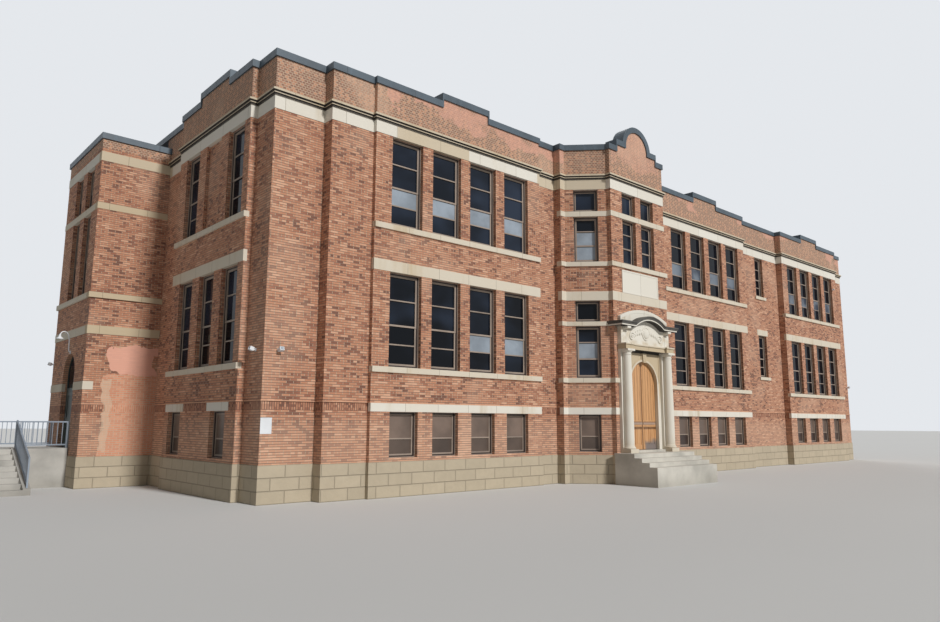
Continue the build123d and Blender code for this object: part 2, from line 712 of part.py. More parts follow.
def make_walls():
    """Every brick wall, with its openings and the beds of its stones cut out."""
    shell = ring(outline, 0, WALL, FOUNDATION_TOP, PARAPET_TOP)
    walls = {}
    for name, (x0, x1, y0, y1) in wall_boxes.items():
        walls[name] = shell & block(x0, x1, y0, y1, 0, PARAPET_TOP + 1000)
    for (face, middle, width), brick in zip(raised, raised_brick):
        for name, (x0, x1, y0, y1) in wall_boxes.items():
            centre = brick.center()
            if x0 < centre.X < x1 and y0 < centre.Y < y1:
                walls[name] += brick
    front = walls.pop("entrance_front") + gable_brick
    low = FOUNDATION_TOP
    walls["entrance_jamb_left"] = front & block(front_x, -door_half, front_y - 10, 0, low, DOORWAY_HEAD)
    walls["entrance_jamb_right"] = front & block(door_half, -front_x, front_y - 10, 0, low, DOORWAY_HEAD)
    walls["entrance_upper_wall"] = front & block(front_x, -front_x, front_y - 10, 0, DOORWAY_HEAD, 9000)
    walls["tower_front_wall"] = block(tower_x, corner_left, tower_near, tower_near + WALL, low, tower_top)
    walls["tower_rear_wall"] = block(tower_x, corner_left, tower_far - WALL, tower_far, low, tower_top)
    inner_near = tower_near + WALL
    inner_far = tower_far - WALL
    walls["tower_jamb_front"] = block(tower_x, tower_inner_x, inner_near, tower_door_near, low, impost_top)
    walls["tower_jamb_rear"] = block(tower_x, tower_inner_x, tower_door_far, inner_far, low, impost_top)
    walls["tower_side_wall"] = (
        block(tower_x, tower_inner_x, inner_near, inner_far, impost_top, tower_top) - tower_doorway
    )
    courses = (lintels, sills, transoms, frieze, cornice, plaque, belt)
    stones = [solid for course in courses for solid in course.solids()]
    for name, wall in walls.items():
        box = wall.bounding_box()
        cutters = [window_hole(face, middle, width, sill, head)
                   for owner, face, middle, width, sill, head, storey in windows if owner == name]
        for owner, face, middle in blind_windows:
            if owner == name:
                half = SIDE_WINDOW_WIDTH / 2
                cutters.append(face.at(block(middle - half, middle + half, -WALL, BLIND_DEPTH,
                                             SECOND_SILL, FRIEZE_BOTTOM)))
        cutters += [stone for stone in stones if touches(box, stone.bounding_box())]
        walls[name] = wall.cut(*cutters)
    return walls


def touches(one, two):
    """Whether two bounding boxes share some space."""
    return (one.min.X < two.max.X and two.min.X < one.max.X
            and one.min.Y < two.max.Y and two.min.Y < one.max.Y
            and one.min.Z < two.max.Z and two.min.Z < one.max.Z)


# Foundation, floors and roofs
interior = offset(outline, -WALL, kind=Kind.INTERSECTION)


def floor(top, thickness):
    return Pos(0, 0, top - thickness) * extrude(interior, thickness)


hall_notch = block(-HALL_WIDTH / 2, HALL_WIDTH / 2, front_y - 100, HALL_END, 0, FIRST_FLOOR + SLAB)


def make_foundation():
    """The stone footing that the brick walls stand on, down to the lowest ground."""
    main = ring(outline, FOUNDATION_PROUD, WALL, 0, FOUNDATION_TOP)
    side = ring(tower_plan, FOUNDATION_PROUD, WALL, 0, FOUNDATION_TOP)
    side &= block(tower_x - 300, corner_left, tower_near - 300, tower_far + 300, 0, FOUNDATION_TOP)
    return main + side


def make_hall_floor():
    slab = Pos(0, 0, HALL_FLOOR - HALL_SLAB) * extrude(interior, HALL_SLAB)
    slab &= block(-HALL_WIDTH / 2, HALL_WIDTH / 2, front_y, HALL_END, 0, HALL_FLOOR)
    threshold = block(-door_half, door_half, front_y, front_y + WALL, FOUNDATION_TOP, HALL_FLOOR)
    return slab + threshold


def make_tower_floor():
    inner = block(tower_inner_x, corner_left + WALL, tower_near + WALL, tower_far - WALL,
                  TOWER_FLOOR - TOWER_SLAB, TOWER_FLOOR)
    threshold = block(tower_x, tower_inner_x, tower_door_near, tower_door_far, FOUNDATION_TOP, TOWER_FLOOR)
    return inner + threshold


def make_tower_roof():
    return block(tower_inner_x, corner_left, tower_near + WALL, tower_far - WALL,
                 TOWER_ROOF - SLAB, TOWER_ROOF)


# Portal
panel_back = front_y - PANEL_PROUD + PANEL_DEPTH


def make_portal_panel():
    """The stone slab with the round-headed doorway, its keystone and the sunk panels beside the arch."""
    face = front_y - PANEL_PROUD
    rim_width = 2 * (DOOR_RADIUS + ARCH_RIM)
    slab = block(-door_half, door_half, face, panel_back, HALL_FLOOR, DOORWAY_HEAD)
    corner = Pos(0, (DOOR_SPRING + DOORWAY_HEAD) / 2) * Rectangle(
        DOORWAY_WIDTH - 2 * SPANDREL_MARGIN, DOORWAY_HEAD - DOOR_SPRING - 2 * SPANDREL_MARGIN)
    spandrels = corner - Pos(0, DOOR_SPRING) * Circle(rim_width / 2 + SPANDREL_MARGIN / 2)
    spandrels -= Pos(0, DOORWAY_HEAD) * Rectangle(KEYSTONE_WIDTH + SPANDREL_MARGIN, DOORWAY_HEAD)
    slab -= elevation(spandrels, face - 1, face + SPANDREL_DEPTH)
    hole = elevation(arched(2 * DOOR_RADIUS, HALL_FLOOR - 1, DOOR_SPRING), front_y - SPARE, panel_back + 1)
    rim = elevation(arched(rim_width, HALL_FLOOR, DOOR_SPRING), face - ARCH_RIM_PROUD, face)
    foot = DOOR_SPRING + DOOR_RADIUS - KEYSTONE_DROP
    half = KEYSTONE_WIDTH / 2
    foot_half = half - KEYSTONE_TAPER
    key = make_face(Polyline((-foot_half, foot), (foot_half, foot), (half, DOORWAY_HEAD),
                             (-half, DOORWAY_HEAD), close=True))
    return slab + rim - hole + elevation(key, face - KEYSTONE_PROUD, face)


column_base = HALL_FLOOR - COLUMN_DROP
column_top = DOORWAY_HEAD
column_y = front_y - COLUMN_REACH
top_radius = COLUMN_RADIUS * COLUMN_TAPER


def turned_column():
    """The round column from its plinth to its square head, turned from half of its outline."""
    low = column_base + PLINTH_HEIGHT
    torus = COLUMN_RADIUS + TORUS_PROUD
    torus_top = low + TORUS_HEIGHT
    base_fillet = COLUMN_RADIUS + FILLET
    shaft_bottom = torus_top + FILLET_HEIGHT + FLARE_HEIGHT
    taper_start = shaft_bottom + COLUMN_STRAIGHT
    neck_fillet = top_radius + FILLET
    bell_top = column_top - ABACUS_HEIGHT
    bell_bottom = bell_top - CAPITAL_ROUND
    shaft_top = bell_bottom - NECK_HEIGHT - FILLET_HEIGHT
    with BuildSketch(Plane.XZ) as half:
        with BuildLine():
            Line((0, low), (torus, low))
            ThreePointArc((torus, low), (torus + TORUS_ROUND, (low + torus_top) / 2), (torus, torus_top))
            Polyline(
                (torus, torus_top),
                (base_fillet, torus_top),
                (base_fillet, torus_top + FILLET_HEIGHT),
                (COLUMN_RADIUS, shaft_bottom),
                (COLUMN_RADIUS, taper_start),
                (top_radius, shaft_top),
                (neck_fillet, shaft_top),
                (neck_fillet, shaft_top + FILLET_HEIGHT),
                (top_radius, shaft_top + FILLET_HEIGHT),
                (top_radius, bell_bottom),
            )
            ThreePointArc(
                (top_radius, bell_bottom),
                (top_radius + CAPITAL_PROUD * 2 / 3, bell_bottom + CAPITAL_ROUND / 3),
                (top_radius + CAPITAL_PROUD, bell_top),
            )
            Polyline((top_radius + CAPITAL_PROUD, bell_top), (0, bell_top), (0, low))
        make_face()
    return revolve(half.sketch, Axis.Z)


def make_portal_columns():
    """A turned column on a square plinth in front of a flat pilaster, on each side."""
    turned = turned_column()
    columns = []
    for middle in (-COLUMN_CENTRE, COLUMN_CENTRE):
        column = Pos(middle, column_y, 0) * turned
        half = PLINTH / 2
        column += block(middle - half, middle + half, column_y - half, front_y,
                        column_base, column_base + PLINTH_HEIGHT)
        half = top_radius + ABACUS_PROUD
        column += block(middle - half, middle + half, column_y - half, front_y,
                        column_top - ABACUS_HEIGHT, column_top)
        half = PILASTER_WIDTH / 2
        column += block(middle - half, middle + half, front_y - PILASTER_DEPTH, front_y,
                        column_base, column_top)
        columns.append(column - block(-SPARE * 2, SPARE * 2, front_y, front_y + SPARE, 0, column_top + 1))
    return together(columns)


def hood_sketch(bottom, height, width, arch_width, rise):
    """A level course that rises in a round arch in the middle."""
    radius = (arch_width ** 2 / 4 + rise ** 2) / (2 * rise)
    half = width / 2
    side = arch_width / 2
    with BuildSketch() as sketch:
        with BuildLine():
            Line((-half, bottom), (-side, bottom))
            RadiusArc((-side, bottom), (side, bottom), radius)
            Line((side, bottom), (half, bottom))
            Line((half, bottom), (half, bottom + height))
            Line((half, bottom + height), (side, bottom + height))
            RadiusArc((side, bottom + height), (-side, bottom + height), -radius)
            Line((-side, bottom + height), (-half, bottom + height))
            Line((-half, bottom + height), (-half, bottom))
        make_face()
    return sketch.sketch


def make_portal_hood():
    """Architrave, tympanum, arched cornice and the blocking over it."""
    architrave_top = DOORWAY_HEAD + ARCHITRAVE_HEIGHT
    tympanum_bottom = architrave_top + TAENIA_HEIGHT
    reach = COLUMN_REACH + top_radius
    gap_half = COLUMN_CENTRE - PILASTER_WIDTH / 2
    hood = block(-portal_half, portal_half, front_y - reach + ARCHITRAVE_BACK, front_y,
                 DOORWAY_HEAD, architrave_top)
    for start, end in ((-portal_half, -gap_half), (gap_half, portal_half)):
        hood += block(start, end, front_y - reach, front_y, DOORWAY_HEAD, architrave_top)
        hood += block(start - TAENIA_PROUD, end + TAENIA_PROUD, front_y - reach - TAENIA_PROUD, front_y,
                      architrave_top, tympanum_bottom)
    hood += block(-gap_half, gap_half, front_y - reach + ARCHITRAVE_BACK - TAENIA_PROUD, front_y,
                  architrave_top, tympanum_bottom)
    middle = (tympanum_bottom + HOOD_BOTTOM) / 2
    under = Pos(0, middle) * Rectangle(2 * portal_half, HOOD_BOTTOM - tympanum_bottom)
    cap = Pos(0, HOOD_BOTTOM) * arch_fill(HOOD_ARCH_WIDTH, HOOD_ARCH_RISE)
    hood += elevation(under + cap, front_y - TYMPANUM_REACH, front_y)
    for share, inset in HOOD_STEPS:
        step = hood_sketch(HOOD_BOTTOM + share * HOOD_HEIGHT, (1 - share) * HOOD_HEIGHT,
                           HOOD_WIDTH - 2 * inset, HOOD_ARCH_WIDTH, HOOD_ARCH_RISE)
        hood += elevation(step, front_y - HOOD_REACH + inset, front_y)
    top = HOOD_BOTTOM + HOOD_HEIGHT
    width = 2 * (portal_half - BLOCKING_INSET)
    blocking = Pos(0, top + BLOCKING_BASE / 2) * Rectangle(width, BLOCKING_BASE)
    blocking += Pos(0, top + BLOCKING_BASE) * arch_fill(width, BLOCKING_HEIGHT)
    blocking -= hood_sketch(HOOD_BOTTOM, HOOD_HEIGHT, HOOD_WIDTH, HOOD_ARCH_WIDTH, HOOD_ARCH_RISE)
    hood += elevation(blocking, front_y - PILASTER_DEPTH, front_y)
    return hood


def arch_fill(width, rise):
    """The segment between a level line and the arch over it."""
    radius = (width ** 2 / 4 + rise ** 2) / (2 * rise)
    with BuildSketch() as sketch:
        with BuildLine():
            RadiusArc((-width / 2, 0), (width / 2, 0), radius)
            Line((width / 2, 0), (-width / 2, 0))
        make_face()
    return sketch.sketch


# Doors: a hinge stands at x = 0 of its own frame, on the inner face of the leaf, at y = 0
barrel_x = RUN_GAP / 2


def hinge_height_list(levels):
    return [(level - KNUCKLE / 2, level + KNUCKLE / 2) for level in levels]


def moving_knuckles(levels):
    """Barrels on the leaf, which runs to -X from the hinge."""
    parts = []
    for low, high in hinge_height_list(levels):
        barrel = Pos(0, BARREL_RADIUS, (low + high) / 2) * Cylinder(BARREL_RADIUS, high - low)
        tab = block(-barrel_x - TAB, 0, 0, TAB_THICKNESS, low, high)
        bore = Pos(0, BARREL_RADIUS, (low + high) / 2) * Cylinder(PIN_RADIUS + BORE_GAP, high - low + 2)
        parts.append(barrel + tab - bore)
    return parts


def fixed_hinges(levels):
    """Barrels and pins on the post, which stands to +X of the hinge."""
    parts = []
    for low, high in hinge_height_list(levels):
        hinge = Pos(0, BARREL_RADIUS, (low + high) / 2) * Cylinder(PIN_RADIUS, high - low + 10)
        for start in (low - BORE_GAP - KNUCKLE / 2, high + BORE_GAP):
            end = start + KNUCKLE / 2
            hinge += Pos(0, BARREL_RADIUS, (start + end) / 2) * Cylinder(BARREL_RADIUS, end - start)
            hinge += block(0, barrel_x + TAB, 0, TAB_THICKNESS, start, end)
        parts.append(hinge)
    return parts


leaf_front = panel_back + RUN_GAP
leaf_back = leaf_front + LEAF
hinge_x = DOOR_RADIUS + LEAF_LAP + barrel_x
post_inner = hinge_x + barrel_x


def right_leaf():
    """The right-hand oak leaf, with boards above a moulded rail and panels below it."""
    radius = DOOR_RADIUS + LEAF_LAP
    shape = arched(2 * radius, HALL_FLOOR + RUN_GAP, DOOR_SPRING)
    shape -= Pos(RUN_GAP / 2 - radius, DOOR_SPRING) * Rectangle(2 * radius, 2 * DOOR_SPRING)
    leaf = elevation(shape, leaf_front, leaf_back)
    edge = DOOR_RADIUS - STILE
    half = GROOVE / 2
    for number in range(BOARDS + 1):
        x = STILE + number * (edge - STILE) / BOARDS
        top = DOOR_SPRING + sqrt(edge ** 2 - x ** 2)
        leaf -= block(x - half, x + half, leaf_front - 1, leaf_front + GROOVE, DOOR_RAIL + BOARD_MARGIN, top)
    low = HALL_FLOOR + LOWER_MARGIN
    high = DOOR_RAIL - BOARD_MARGIN
    middle = (STILE + edge) / 2
    half = LOWER_MULLION / 2
    for start, end in ((STILE, middle - half), (middle + half, edge)):
        leaf -= block(start, end, leaf_front - 1, leaf_front + PANEL_SINK, low, high)
        leaf += block(start + FIELD_INSET, end - FIELD_INSET, leaf_front + FIELD_SINK,
                      leaf_front + PANEL_SINK, low + FIELD_INSET, high - FIELD_INSET)
    leaf += block(STILE_MARGIN, edge, leaf_front - DOOR_RAIL_PROUD, leaf_front,
                  DOOR_RAIL - DOOR_RAIL_HALF, DOOR_RAIL + DOOR_RAIL_HALF)
    return leaf


def make_front_doors():
    leaf = right_leaf()
    hinge_place = Pos(hinge_x, leaf_back, 0)
    for knuckle in moving_knuckles(FRONT_HINGES):
        leaf += hinge_place * knuckle
    return mirror(leaf, Plane.YZ), leaf


def make_front_door_frame():
    """Posts beside the leaves and a head over them, behind the stone slab."""
    right = block(post_inner, door_half, panel_back, leaf_back, HALL_FLOOR, DOORWAY_HEAD)
    crown = DOOR_SPRING + DOOR_RADIUS + LEAF_LAP + RUN_GAP
    head = block(-post_inner, post_inner, panel_back, leaf_back, crown, DOORWAY_HEAD)
    return right + mirror(right, Plane.YZ) + head


def make_front_hinges():
    right = [Pos(hinge_x, leaf_back, 0) * hinge for hinge in fixed_hinges(FRONT_HINGES)]
    return together(right + [mirror(hinge, Plane.YZ) for hinge in right])


# Tower door, in the frame of the tower's side face
tower_half = TOWER_DOORWAY_WIDTH / 2
tower_leaf_half = tower_half - TOWER_POST - RUN_GAP
tower_leaf_front = REVEAL
tower_leaf_back = tower_leaf_front + LEAF
tower_hinge_x = tower_leaf_half + barrel_x


def on_tower(shape):
    return tower_side.at(Pos(tower_middle, 0, 0) * shape)


def make_tower_door():
    """A plain framed leaf under the arched light, hinged on its right."""
    top = TOWER_DOOR_HEAD
    bottom = TOWER_FLOOR + RUN_GAP
    leaf = block(-tower_leaf_half, tower_leaf_half, tower_leaf_front, tower_leaf_back, bottom, top)
    middle = (bottom + top) / 2
    half = tower_leaf_half - TOWER_STILE
    rail_half = TOWER_STILE / 2
    for low, high in ((bottom + TOWER_STILE, middle - rail_half), (middle + rail_half, top - TOWER_STILE)):
        leaf -= block(-half, half, tower_leaf_front - 1, tower_leaf_front + PANEL_SINK, low, high)
    place = Pos(tower_hinge_x, tower_leaf_back, 0)
    for knuckle in moving_knuckles(TOWER_HINGES):
        leaf += place * knuckle
    return on_tower(leaf)


def make_tower_door_frame():
    """Posts, transom and arched rim of the tower doorway."""
    outer = arched(TOWER_DOORWAY_WIDTH, TOWER_FLOOR, TOWER_DOOR_SPRING)
    inner_width = TOWER_DOORWAY_WIDTH - 2 * TOWER_POST
    inner = arched(inner_width, TOWER_FLOOR - 1, TOWER_DOOR_SPRING)
    rim = elevation(outer - inner, tower_leaf_front, tower_leaf_back)
    low = TOWER_DOOR_HEAD + RUN_GAP
    rim += block(-tower_half, tower_half, tower_leaf_front, tower_leaf_back, low, low + TOWER_TRANSOM)
    return on_tower(rim)


def tower_fanlight():
    low = TOWER_DOOR_HEAD + RUN_GAP + TOWER_TRANSOM
    pane = arched(TOWER_DOORWAY_WIDTH - 2 * TOWER_POST, low, TOWER_DOOR_SPRING)
    pane -= Pos(0, low / 2) * Rectangle(TOWER_DOORWAY_WIDTH, low)
    middle = (tower_leaf_front + tower_leaf_back) / 2
    return on_tower(elevation(pane, middle - GLASS / 2, middle + GLASS / 2))


def make_tower_hinges():
    place = Pos(tower_hinge_x, tower_leaf_back, 0)
    return [on_tower(place * hinge) for hinge in fixed_hinges(TOWER_HINGES)]


# Steps and landing
landing_near = tower_near + LANDING_START
landing_far = landing_near + LANDING_LENGTH
steps_near = tower_near + STEPS_START
steps_right_in = tower_x - STEPS_OUT - CURB
steps_left_in = steps_right_in - STEPS_WIDTH
steps_left = steps_left_in - CURB
riser = TOWER_FLOOR / RISERS
steps_foot = steps_near - (RISERS - 1) * TREAD
landing_edge = tower_x - FOUNDATION_PROUD


def make_landing():
    """The concrete landing, down to the ground and beside the steps."""
    slab = block(steps_left, landing_edge, landing_near, landing_far, 0, TOWER_FLOOR)
    fill = block(landing_edge, tower_x, tower_door_near, tower_door_far, FOUNDATION_TOP, TOWER_FLOOR)
    return slab + fill


def make_tower_steps():
    """One flight of solid concrete steps."""
    points = [(landing_near, 0), (landing_near, TOWER_FLOOR), (steps_near, TOWER_FLOOR)]
    for number in range(1, RISERS):
        y = steps_near - (number - 1) * TREAD
        z = TOWER_FLOOR - number * riser
        points += [(y, z), (y - TREAD, z)]
    points.append((steps_foot, 0))
    side = make_face(Polyline(*[(0, y, z) for y, z in points], close=True))
    return Pos(steps_left_in, 0, 0) * extrude(side, STEPS_WIDTH, dir=(1, 0, 0))


def make_curbs():
    """A sloping curb on each side of the steps."""
    top = TOWER_FLOOR + CURB_RISE
    foot_top = riser + CURB_RISE
    points = [(landing_near, 0), (landing_near, top), (steps_near, top)]
    points += [(steps_foot, foot_top), (steps_foot, 0)]
    side = make_face(Polyline(*[(0, y, z) for y, z in points], close=True))
    curb = extrude(side, CURB, dir=(1, 0, 0))
    return together([Pos(steps_left, 0, 0) * curb, Pos(steps_right_in, 0, 0) * curb])


def railing(start, end, floor_start, floor_end):
    """A guard of upright bars between two posts, along a level or sloping line."""
    run = hypot(end[0] - start[0], end[1] - start[1])
    angle = degrees(atan2(end[1] - start[1], end[0] - start[0]))
    slope = (floor_end - floor_start) / run
    half = RAIL_BAR / 2
    guard = block(-half, half, -half, half, 0, RAIL_HEIGHT)
    guard += block(run - half, run + half, -half, half, slope * run, slope * run + RAIL_HEIGHT)
    for level in (RAIL_FOOT, RAIL_HEIGHT - RAIL_BAR):
        points = [(0, 0, level), (run, 0, level + slope * run), (run, 0, level + slope * run + RAIL_BAR),
                  (0, 0, level + RAIL_BAR)]
        side = make_face(Polyline(*points, close=True))
        guard += Pos(0, -half, 0) * extrude(side, RAIL_BAR, dir=(0, 1, 0))
    count = int(run // BALUSTER_PITCH)
    pitch = run / count
    for number in range(1, count):
        x = number * pitch
        low = slope * x
        guard += block(x - BALUSTER / 2, x + BALUSTER / 2, -BALUSTER / 2, BALUSTER / 2,
                       low + RAIL_FOOT + half, low + RAIL_HEIGHT - half)
    return Pos(start[0], start[1], floor_start) * Rot(0, 0, angle) * guard


def make_railings():
    """Guards on the free edges of the landing and on both curbs."""
    inset = RAIL_BAR
    near = landing_near + inset
    far = landing_far - inset
    left = steps_left + inset
    right_curb = steps_right_in + CURB / 2
    left_curb = steps_left + CURB / 2
    wall_end = landing_edge - inset
    curb_top = TOWER_FLOOR + CURB_RISE
    foot = steps_foot + inset
    foot_top = riser + CURB_RISE
    runs = [
        ((right_curb + CURB, near), (wall_end, near), TOWER_FLOOR, TOWER_FLOOR),
        ((left, near + CURB), (left, far), TOWER_FLOOR, TOWER_FLOOR),
        ((left + CURB, far), (wall_end, far), TOWER_FLOOR, TOWER_FLOOR),
        ((right_curb, steps_near), (right_curb, foot), curb_top, foot_top + inset / TREAD * riser),
        ((left_curb, steps_near), (left_curb, foot), curb_top, foot_top + inset / TREAD * riser),
    ]
    curbs = make_curbs()
    return together([railing(*run) - curbs for run in runs])


def make_front_steps():
    """Stone landing and steps under the front door, down to the lowest ground."""
    top = column_base
    back = front_y - FOUNDATION_PROUD
    points = [(back, 0), (back, top)]
    y = front_y - STOOP_DEPTH
    points.append((y, top))
    for number in range(1, FRONT_RISERS):
        z = top - number * FRONT_RISE
        points += [(y, z), (y - FRONT_TREAD, z)]
        y -= FRONT_TREAD
    points.append((y, 0))
    side = make_face(Polyline(*[(0, a, b) for a, b in points], close=True))
    half = STOOP_WIDTH / 2
    steps = Pos(-half, 0, 0) * extrude(side, STOOP_WIDTH, dir=(1, 0, 0))
    steps += block(-door_half, door_half, front_y - DOOR_SILL, front_y, top, HALL_FLOOR)
    return steps + block(-half, half, back, front_y, FOUNDATION_TOP, top)


def make_storey(storey, maker):
    return [maker(face, middle, width, sill, head)
            for wall, face, middle, width, sill, head, level in windows if level == storey]


front_left_leaf, front_right_leaf = make_front_doors()
nodes = make_walls()
nodes.update({
    "foundation": make_foundation(),
    "basement_floor": floor(BASEMENT_SLAB, BASEMENT_SLAB),
    "first_floor": floor(FIRST_FLOOR, SLAB) - hall_notch,
    "second_floor": floor(SECOND_FLOOR, SLAB),
    "roof": floor(ROOF_TOP, SLAB),
    "entrance_hall_floor": make_hall_floor(),
    "tower_floor": make_tower_floor(),
    "tower_roof": make_tower_roof(),
    "lintel_bands": lintels,
    "sill_bands": sills,
    "transom_bands": transoms,
    "frieze": frieze,
    "cornice": cornice,
    "coping": make_coping(),
    "name_plaque": plaque,
    "belt_course": belt,
    "portal_panel": make_portal_panel(),
    "portal_columns": make_portal_columns(),
    "portal_hood": make_portal_hood(),
    "front_steps": make_front_steps(),
    "front_door_left": front_left_leaf,
    "front_door_right": front_right_leaf,
    "front_door_frame": make_front_door_frame(),
    "door_hinges": together([make_front_hinges()] + make_tower_hinges()),
    "tower_door": make_tower_door(),
    "tower_door_frame": make_tower_door_frame(),
    "tower_landing": make_landing(),
    "tower_steps": make_tower_steps(),
    "tower_step_curbs": make_curbs(),
    "tower_railings": make_railings(),
    "basement_window_frames": together(make_storey("basement", window_frame)),
    "first_storey_window_frames": together(make_storey("first", window_frame)),
    "second_storey_window_frames": together(make_storey("second", window_frame)),
    "basement_glass": together(make_storey("basement", window_glass)),
    "first_storey_glass": together(make_storey("first", window_glass) + [tower_fanlight()]),
    "second_storey_glass": together(make_storey("second", window_glass)),
})

for name, shape in nodes.items():
    export_step(shape, f"parts/{name}.step")
print("front door hinge axes at", hinge_x, leaf_back + BARREL_RADIUS)
print("tower door hinge axis at", tower_side.at(Pos(tower_middle + tower_hinge_x,
                                                    tower_leaf_back + BARREL_RADIUS, 0)).position)
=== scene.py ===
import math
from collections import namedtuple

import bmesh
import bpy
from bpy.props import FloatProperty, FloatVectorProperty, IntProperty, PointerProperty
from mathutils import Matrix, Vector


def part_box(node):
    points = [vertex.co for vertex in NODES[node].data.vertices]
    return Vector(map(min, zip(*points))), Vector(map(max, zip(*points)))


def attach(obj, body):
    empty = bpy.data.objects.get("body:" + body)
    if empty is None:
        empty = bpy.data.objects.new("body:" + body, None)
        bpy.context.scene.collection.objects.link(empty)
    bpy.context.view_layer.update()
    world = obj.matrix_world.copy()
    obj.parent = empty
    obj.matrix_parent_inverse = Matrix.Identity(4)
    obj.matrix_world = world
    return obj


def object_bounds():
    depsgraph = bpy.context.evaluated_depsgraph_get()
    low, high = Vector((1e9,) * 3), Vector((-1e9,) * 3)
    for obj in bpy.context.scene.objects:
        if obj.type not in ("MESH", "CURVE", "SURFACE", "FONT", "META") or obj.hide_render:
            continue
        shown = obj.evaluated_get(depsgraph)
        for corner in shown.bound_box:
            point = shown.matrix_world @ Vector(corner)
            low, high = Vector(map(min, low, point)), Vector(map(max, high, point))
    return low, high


bl_info = {
    "name": "Brick school",
    "version": (1, 0, 0),
    "blender": (4, 5, 0),
    "location": "View3D > Sidebar > School",
    "description": "Finishes, windows, doors and fittings of a two-storey brick school",
    "category": "Object",
}

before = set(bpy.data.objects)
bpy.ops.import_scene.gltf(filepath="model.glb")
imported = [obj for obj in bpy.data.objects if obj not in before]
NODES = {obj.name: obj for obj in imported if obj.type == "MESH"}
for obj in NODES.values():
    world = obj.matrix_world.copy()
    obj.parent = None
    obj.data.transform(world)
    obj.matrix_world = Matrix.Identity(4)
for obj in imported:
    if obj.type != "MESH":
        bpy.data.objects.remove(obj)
CAD_LOW, CAD_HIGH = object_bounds()
BUILDING = "building"


def tint(red, green, blue):
    """A screen colour, 0 to 255, as the linear colour that a material takes."""
    return tuple(
        (part / 255 / 12.92) if part < 11 else ((part / 255 + 0.055) / 1.055) ** 2.4
        for part in (red, green, blue)
    )


def scaled(colour, share):
    """A colour made darker or lighter all over."""
    return tuple(part * share for part in colour)


def number_prop(name, text, default):
    return FloatProperty(name=name, description=text, default=default)


def length_prop(name, text, default):
    return FloatProperty(name=name, description=text, default=default, unit="LENGTH", precision=4)


def colour_prop(name, text, red, green, blue):
    return FloatVectorProperty(name=name, description=text, default=tint(red, green, blue),
                               subtype="COLOR", size=3, min=0.0, max=1.0)


# Depths of the faces that finishes and fittings are set by, from the frame's boxes

PLAQUE_PROUD = 0.008
TYMPANUM_PROUD = 0.082
BOARDS_SUNK = 0.012

PORTAL_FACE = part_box("name_plaque")[0].y + PLAQUE_PROUD
TYMPANUM_FACE = PORTAL_FACE - TYMPANUM_PROUD
LEAF_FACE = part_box("front_door_right")[0].y + BOARDS_SUNK
TOWER_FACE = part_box("tower_front_wall")[0].y


# Sizes and colours that a user would change


class StageSettings(bpy.types.PropertyGroup):
    camera_place: FloatVectorProperty(
        name="Camera place", description="Where the photograph was taken from", unit="LENGTH",
        default=(-11.410, -8.5775, 1.050))
    camera_turn: number_prop("Camera turn", "Heading of the camera from straight ahead, in degrees", -42.006)
    camera_tilt: number_prop("Camera tilt", "Angle of the camera above the horizon, in degrees", 8.832)
    camera_roll: number_prop("Camera roll", "Turn of the picture about its middle, in degrees", 0.177)
    lens: number_prop("Lens", "Focal length on a sensor 36 mm wide, in millimetres", 27.61)
    sky_level: number_prop("Sky level", "Strength of the light from all round", 0.17)
    sky_shown: number_prop("Sky shown", "Brightness of the sky to the camera and in gloss", 0.84)
    sky_colour: FloatVectorProperty(
        name="Sky colour", description="Colour of the light from all round", subtype="COLOR",
        default=(0.93, 0.96, 1.0))
    sun_level: number_prop("Sun level", "Strength of the soft lamp", 2.85)
    fill_level: number_prop("Fill level", "Strength of the lamp behind", 0.9)
    floor_size: length_prop("Floor size", "Side of the pale floor", 240.0)
    floor_colour: colour_prop("Floor colour", "Colour of the pale floor", 208, 207, 204)


class BrickSettings(bpy.types.PropertyGroup):
    length: length_prop("Brick length", "Length of a brick with its joint", 0.108)
    course: length_prop("Course", "Height of a brick with its joint", 0.0349)
    joint: length_prop("Joint", "Width of a mortar joint", 0.0062)
    header_every: IntProperty(
        name="Header course every", description="Courses from one header course to the next", default=6)
    belt_low: length_prop("Belt foot", "Height of the soldier course's foot", 1.2130)
    belt_high: length_prop("Belt top", "Height of the soldier course's top", 1.3285)
    parapet: length_prop("Parapet foot", "Height from which every brick is a header", 5.6555)
    flashed: colour_prop("Flashed brick", "The darkest bricks", 118, 78, 62)
    red: colour_prop("Red brick", "Dark red bricks", 156, 102, 78)
    orange: colour_prop("Orange brick", "The common brick", 186, 131, 101)
    salmon: colour_prop("Salmon brick", "Pale underburnt bricks", 212, 164, 134)
    mortar: colour_prop("Mortar", "Colour of the joints", 208, 186, 160)
    # Painted shade: the colour painted into the bed joints and into the soldier course's joints
    shadow: colour_prop("Shadow", "Shaded mortar in the bed joints", 98, 68, 56)
    repointed: colour_prop("Repointed", "Brickwork smeared pale by new mortar", 216, 177, 150)
    parged: colour_prop("Parged", "Smooth pink patch on the tower", 222, 166, 144)
    rebuilt: colour_prop("Rebuilt", "Pale new bricks at the tower's foot", 216, 144, 112)


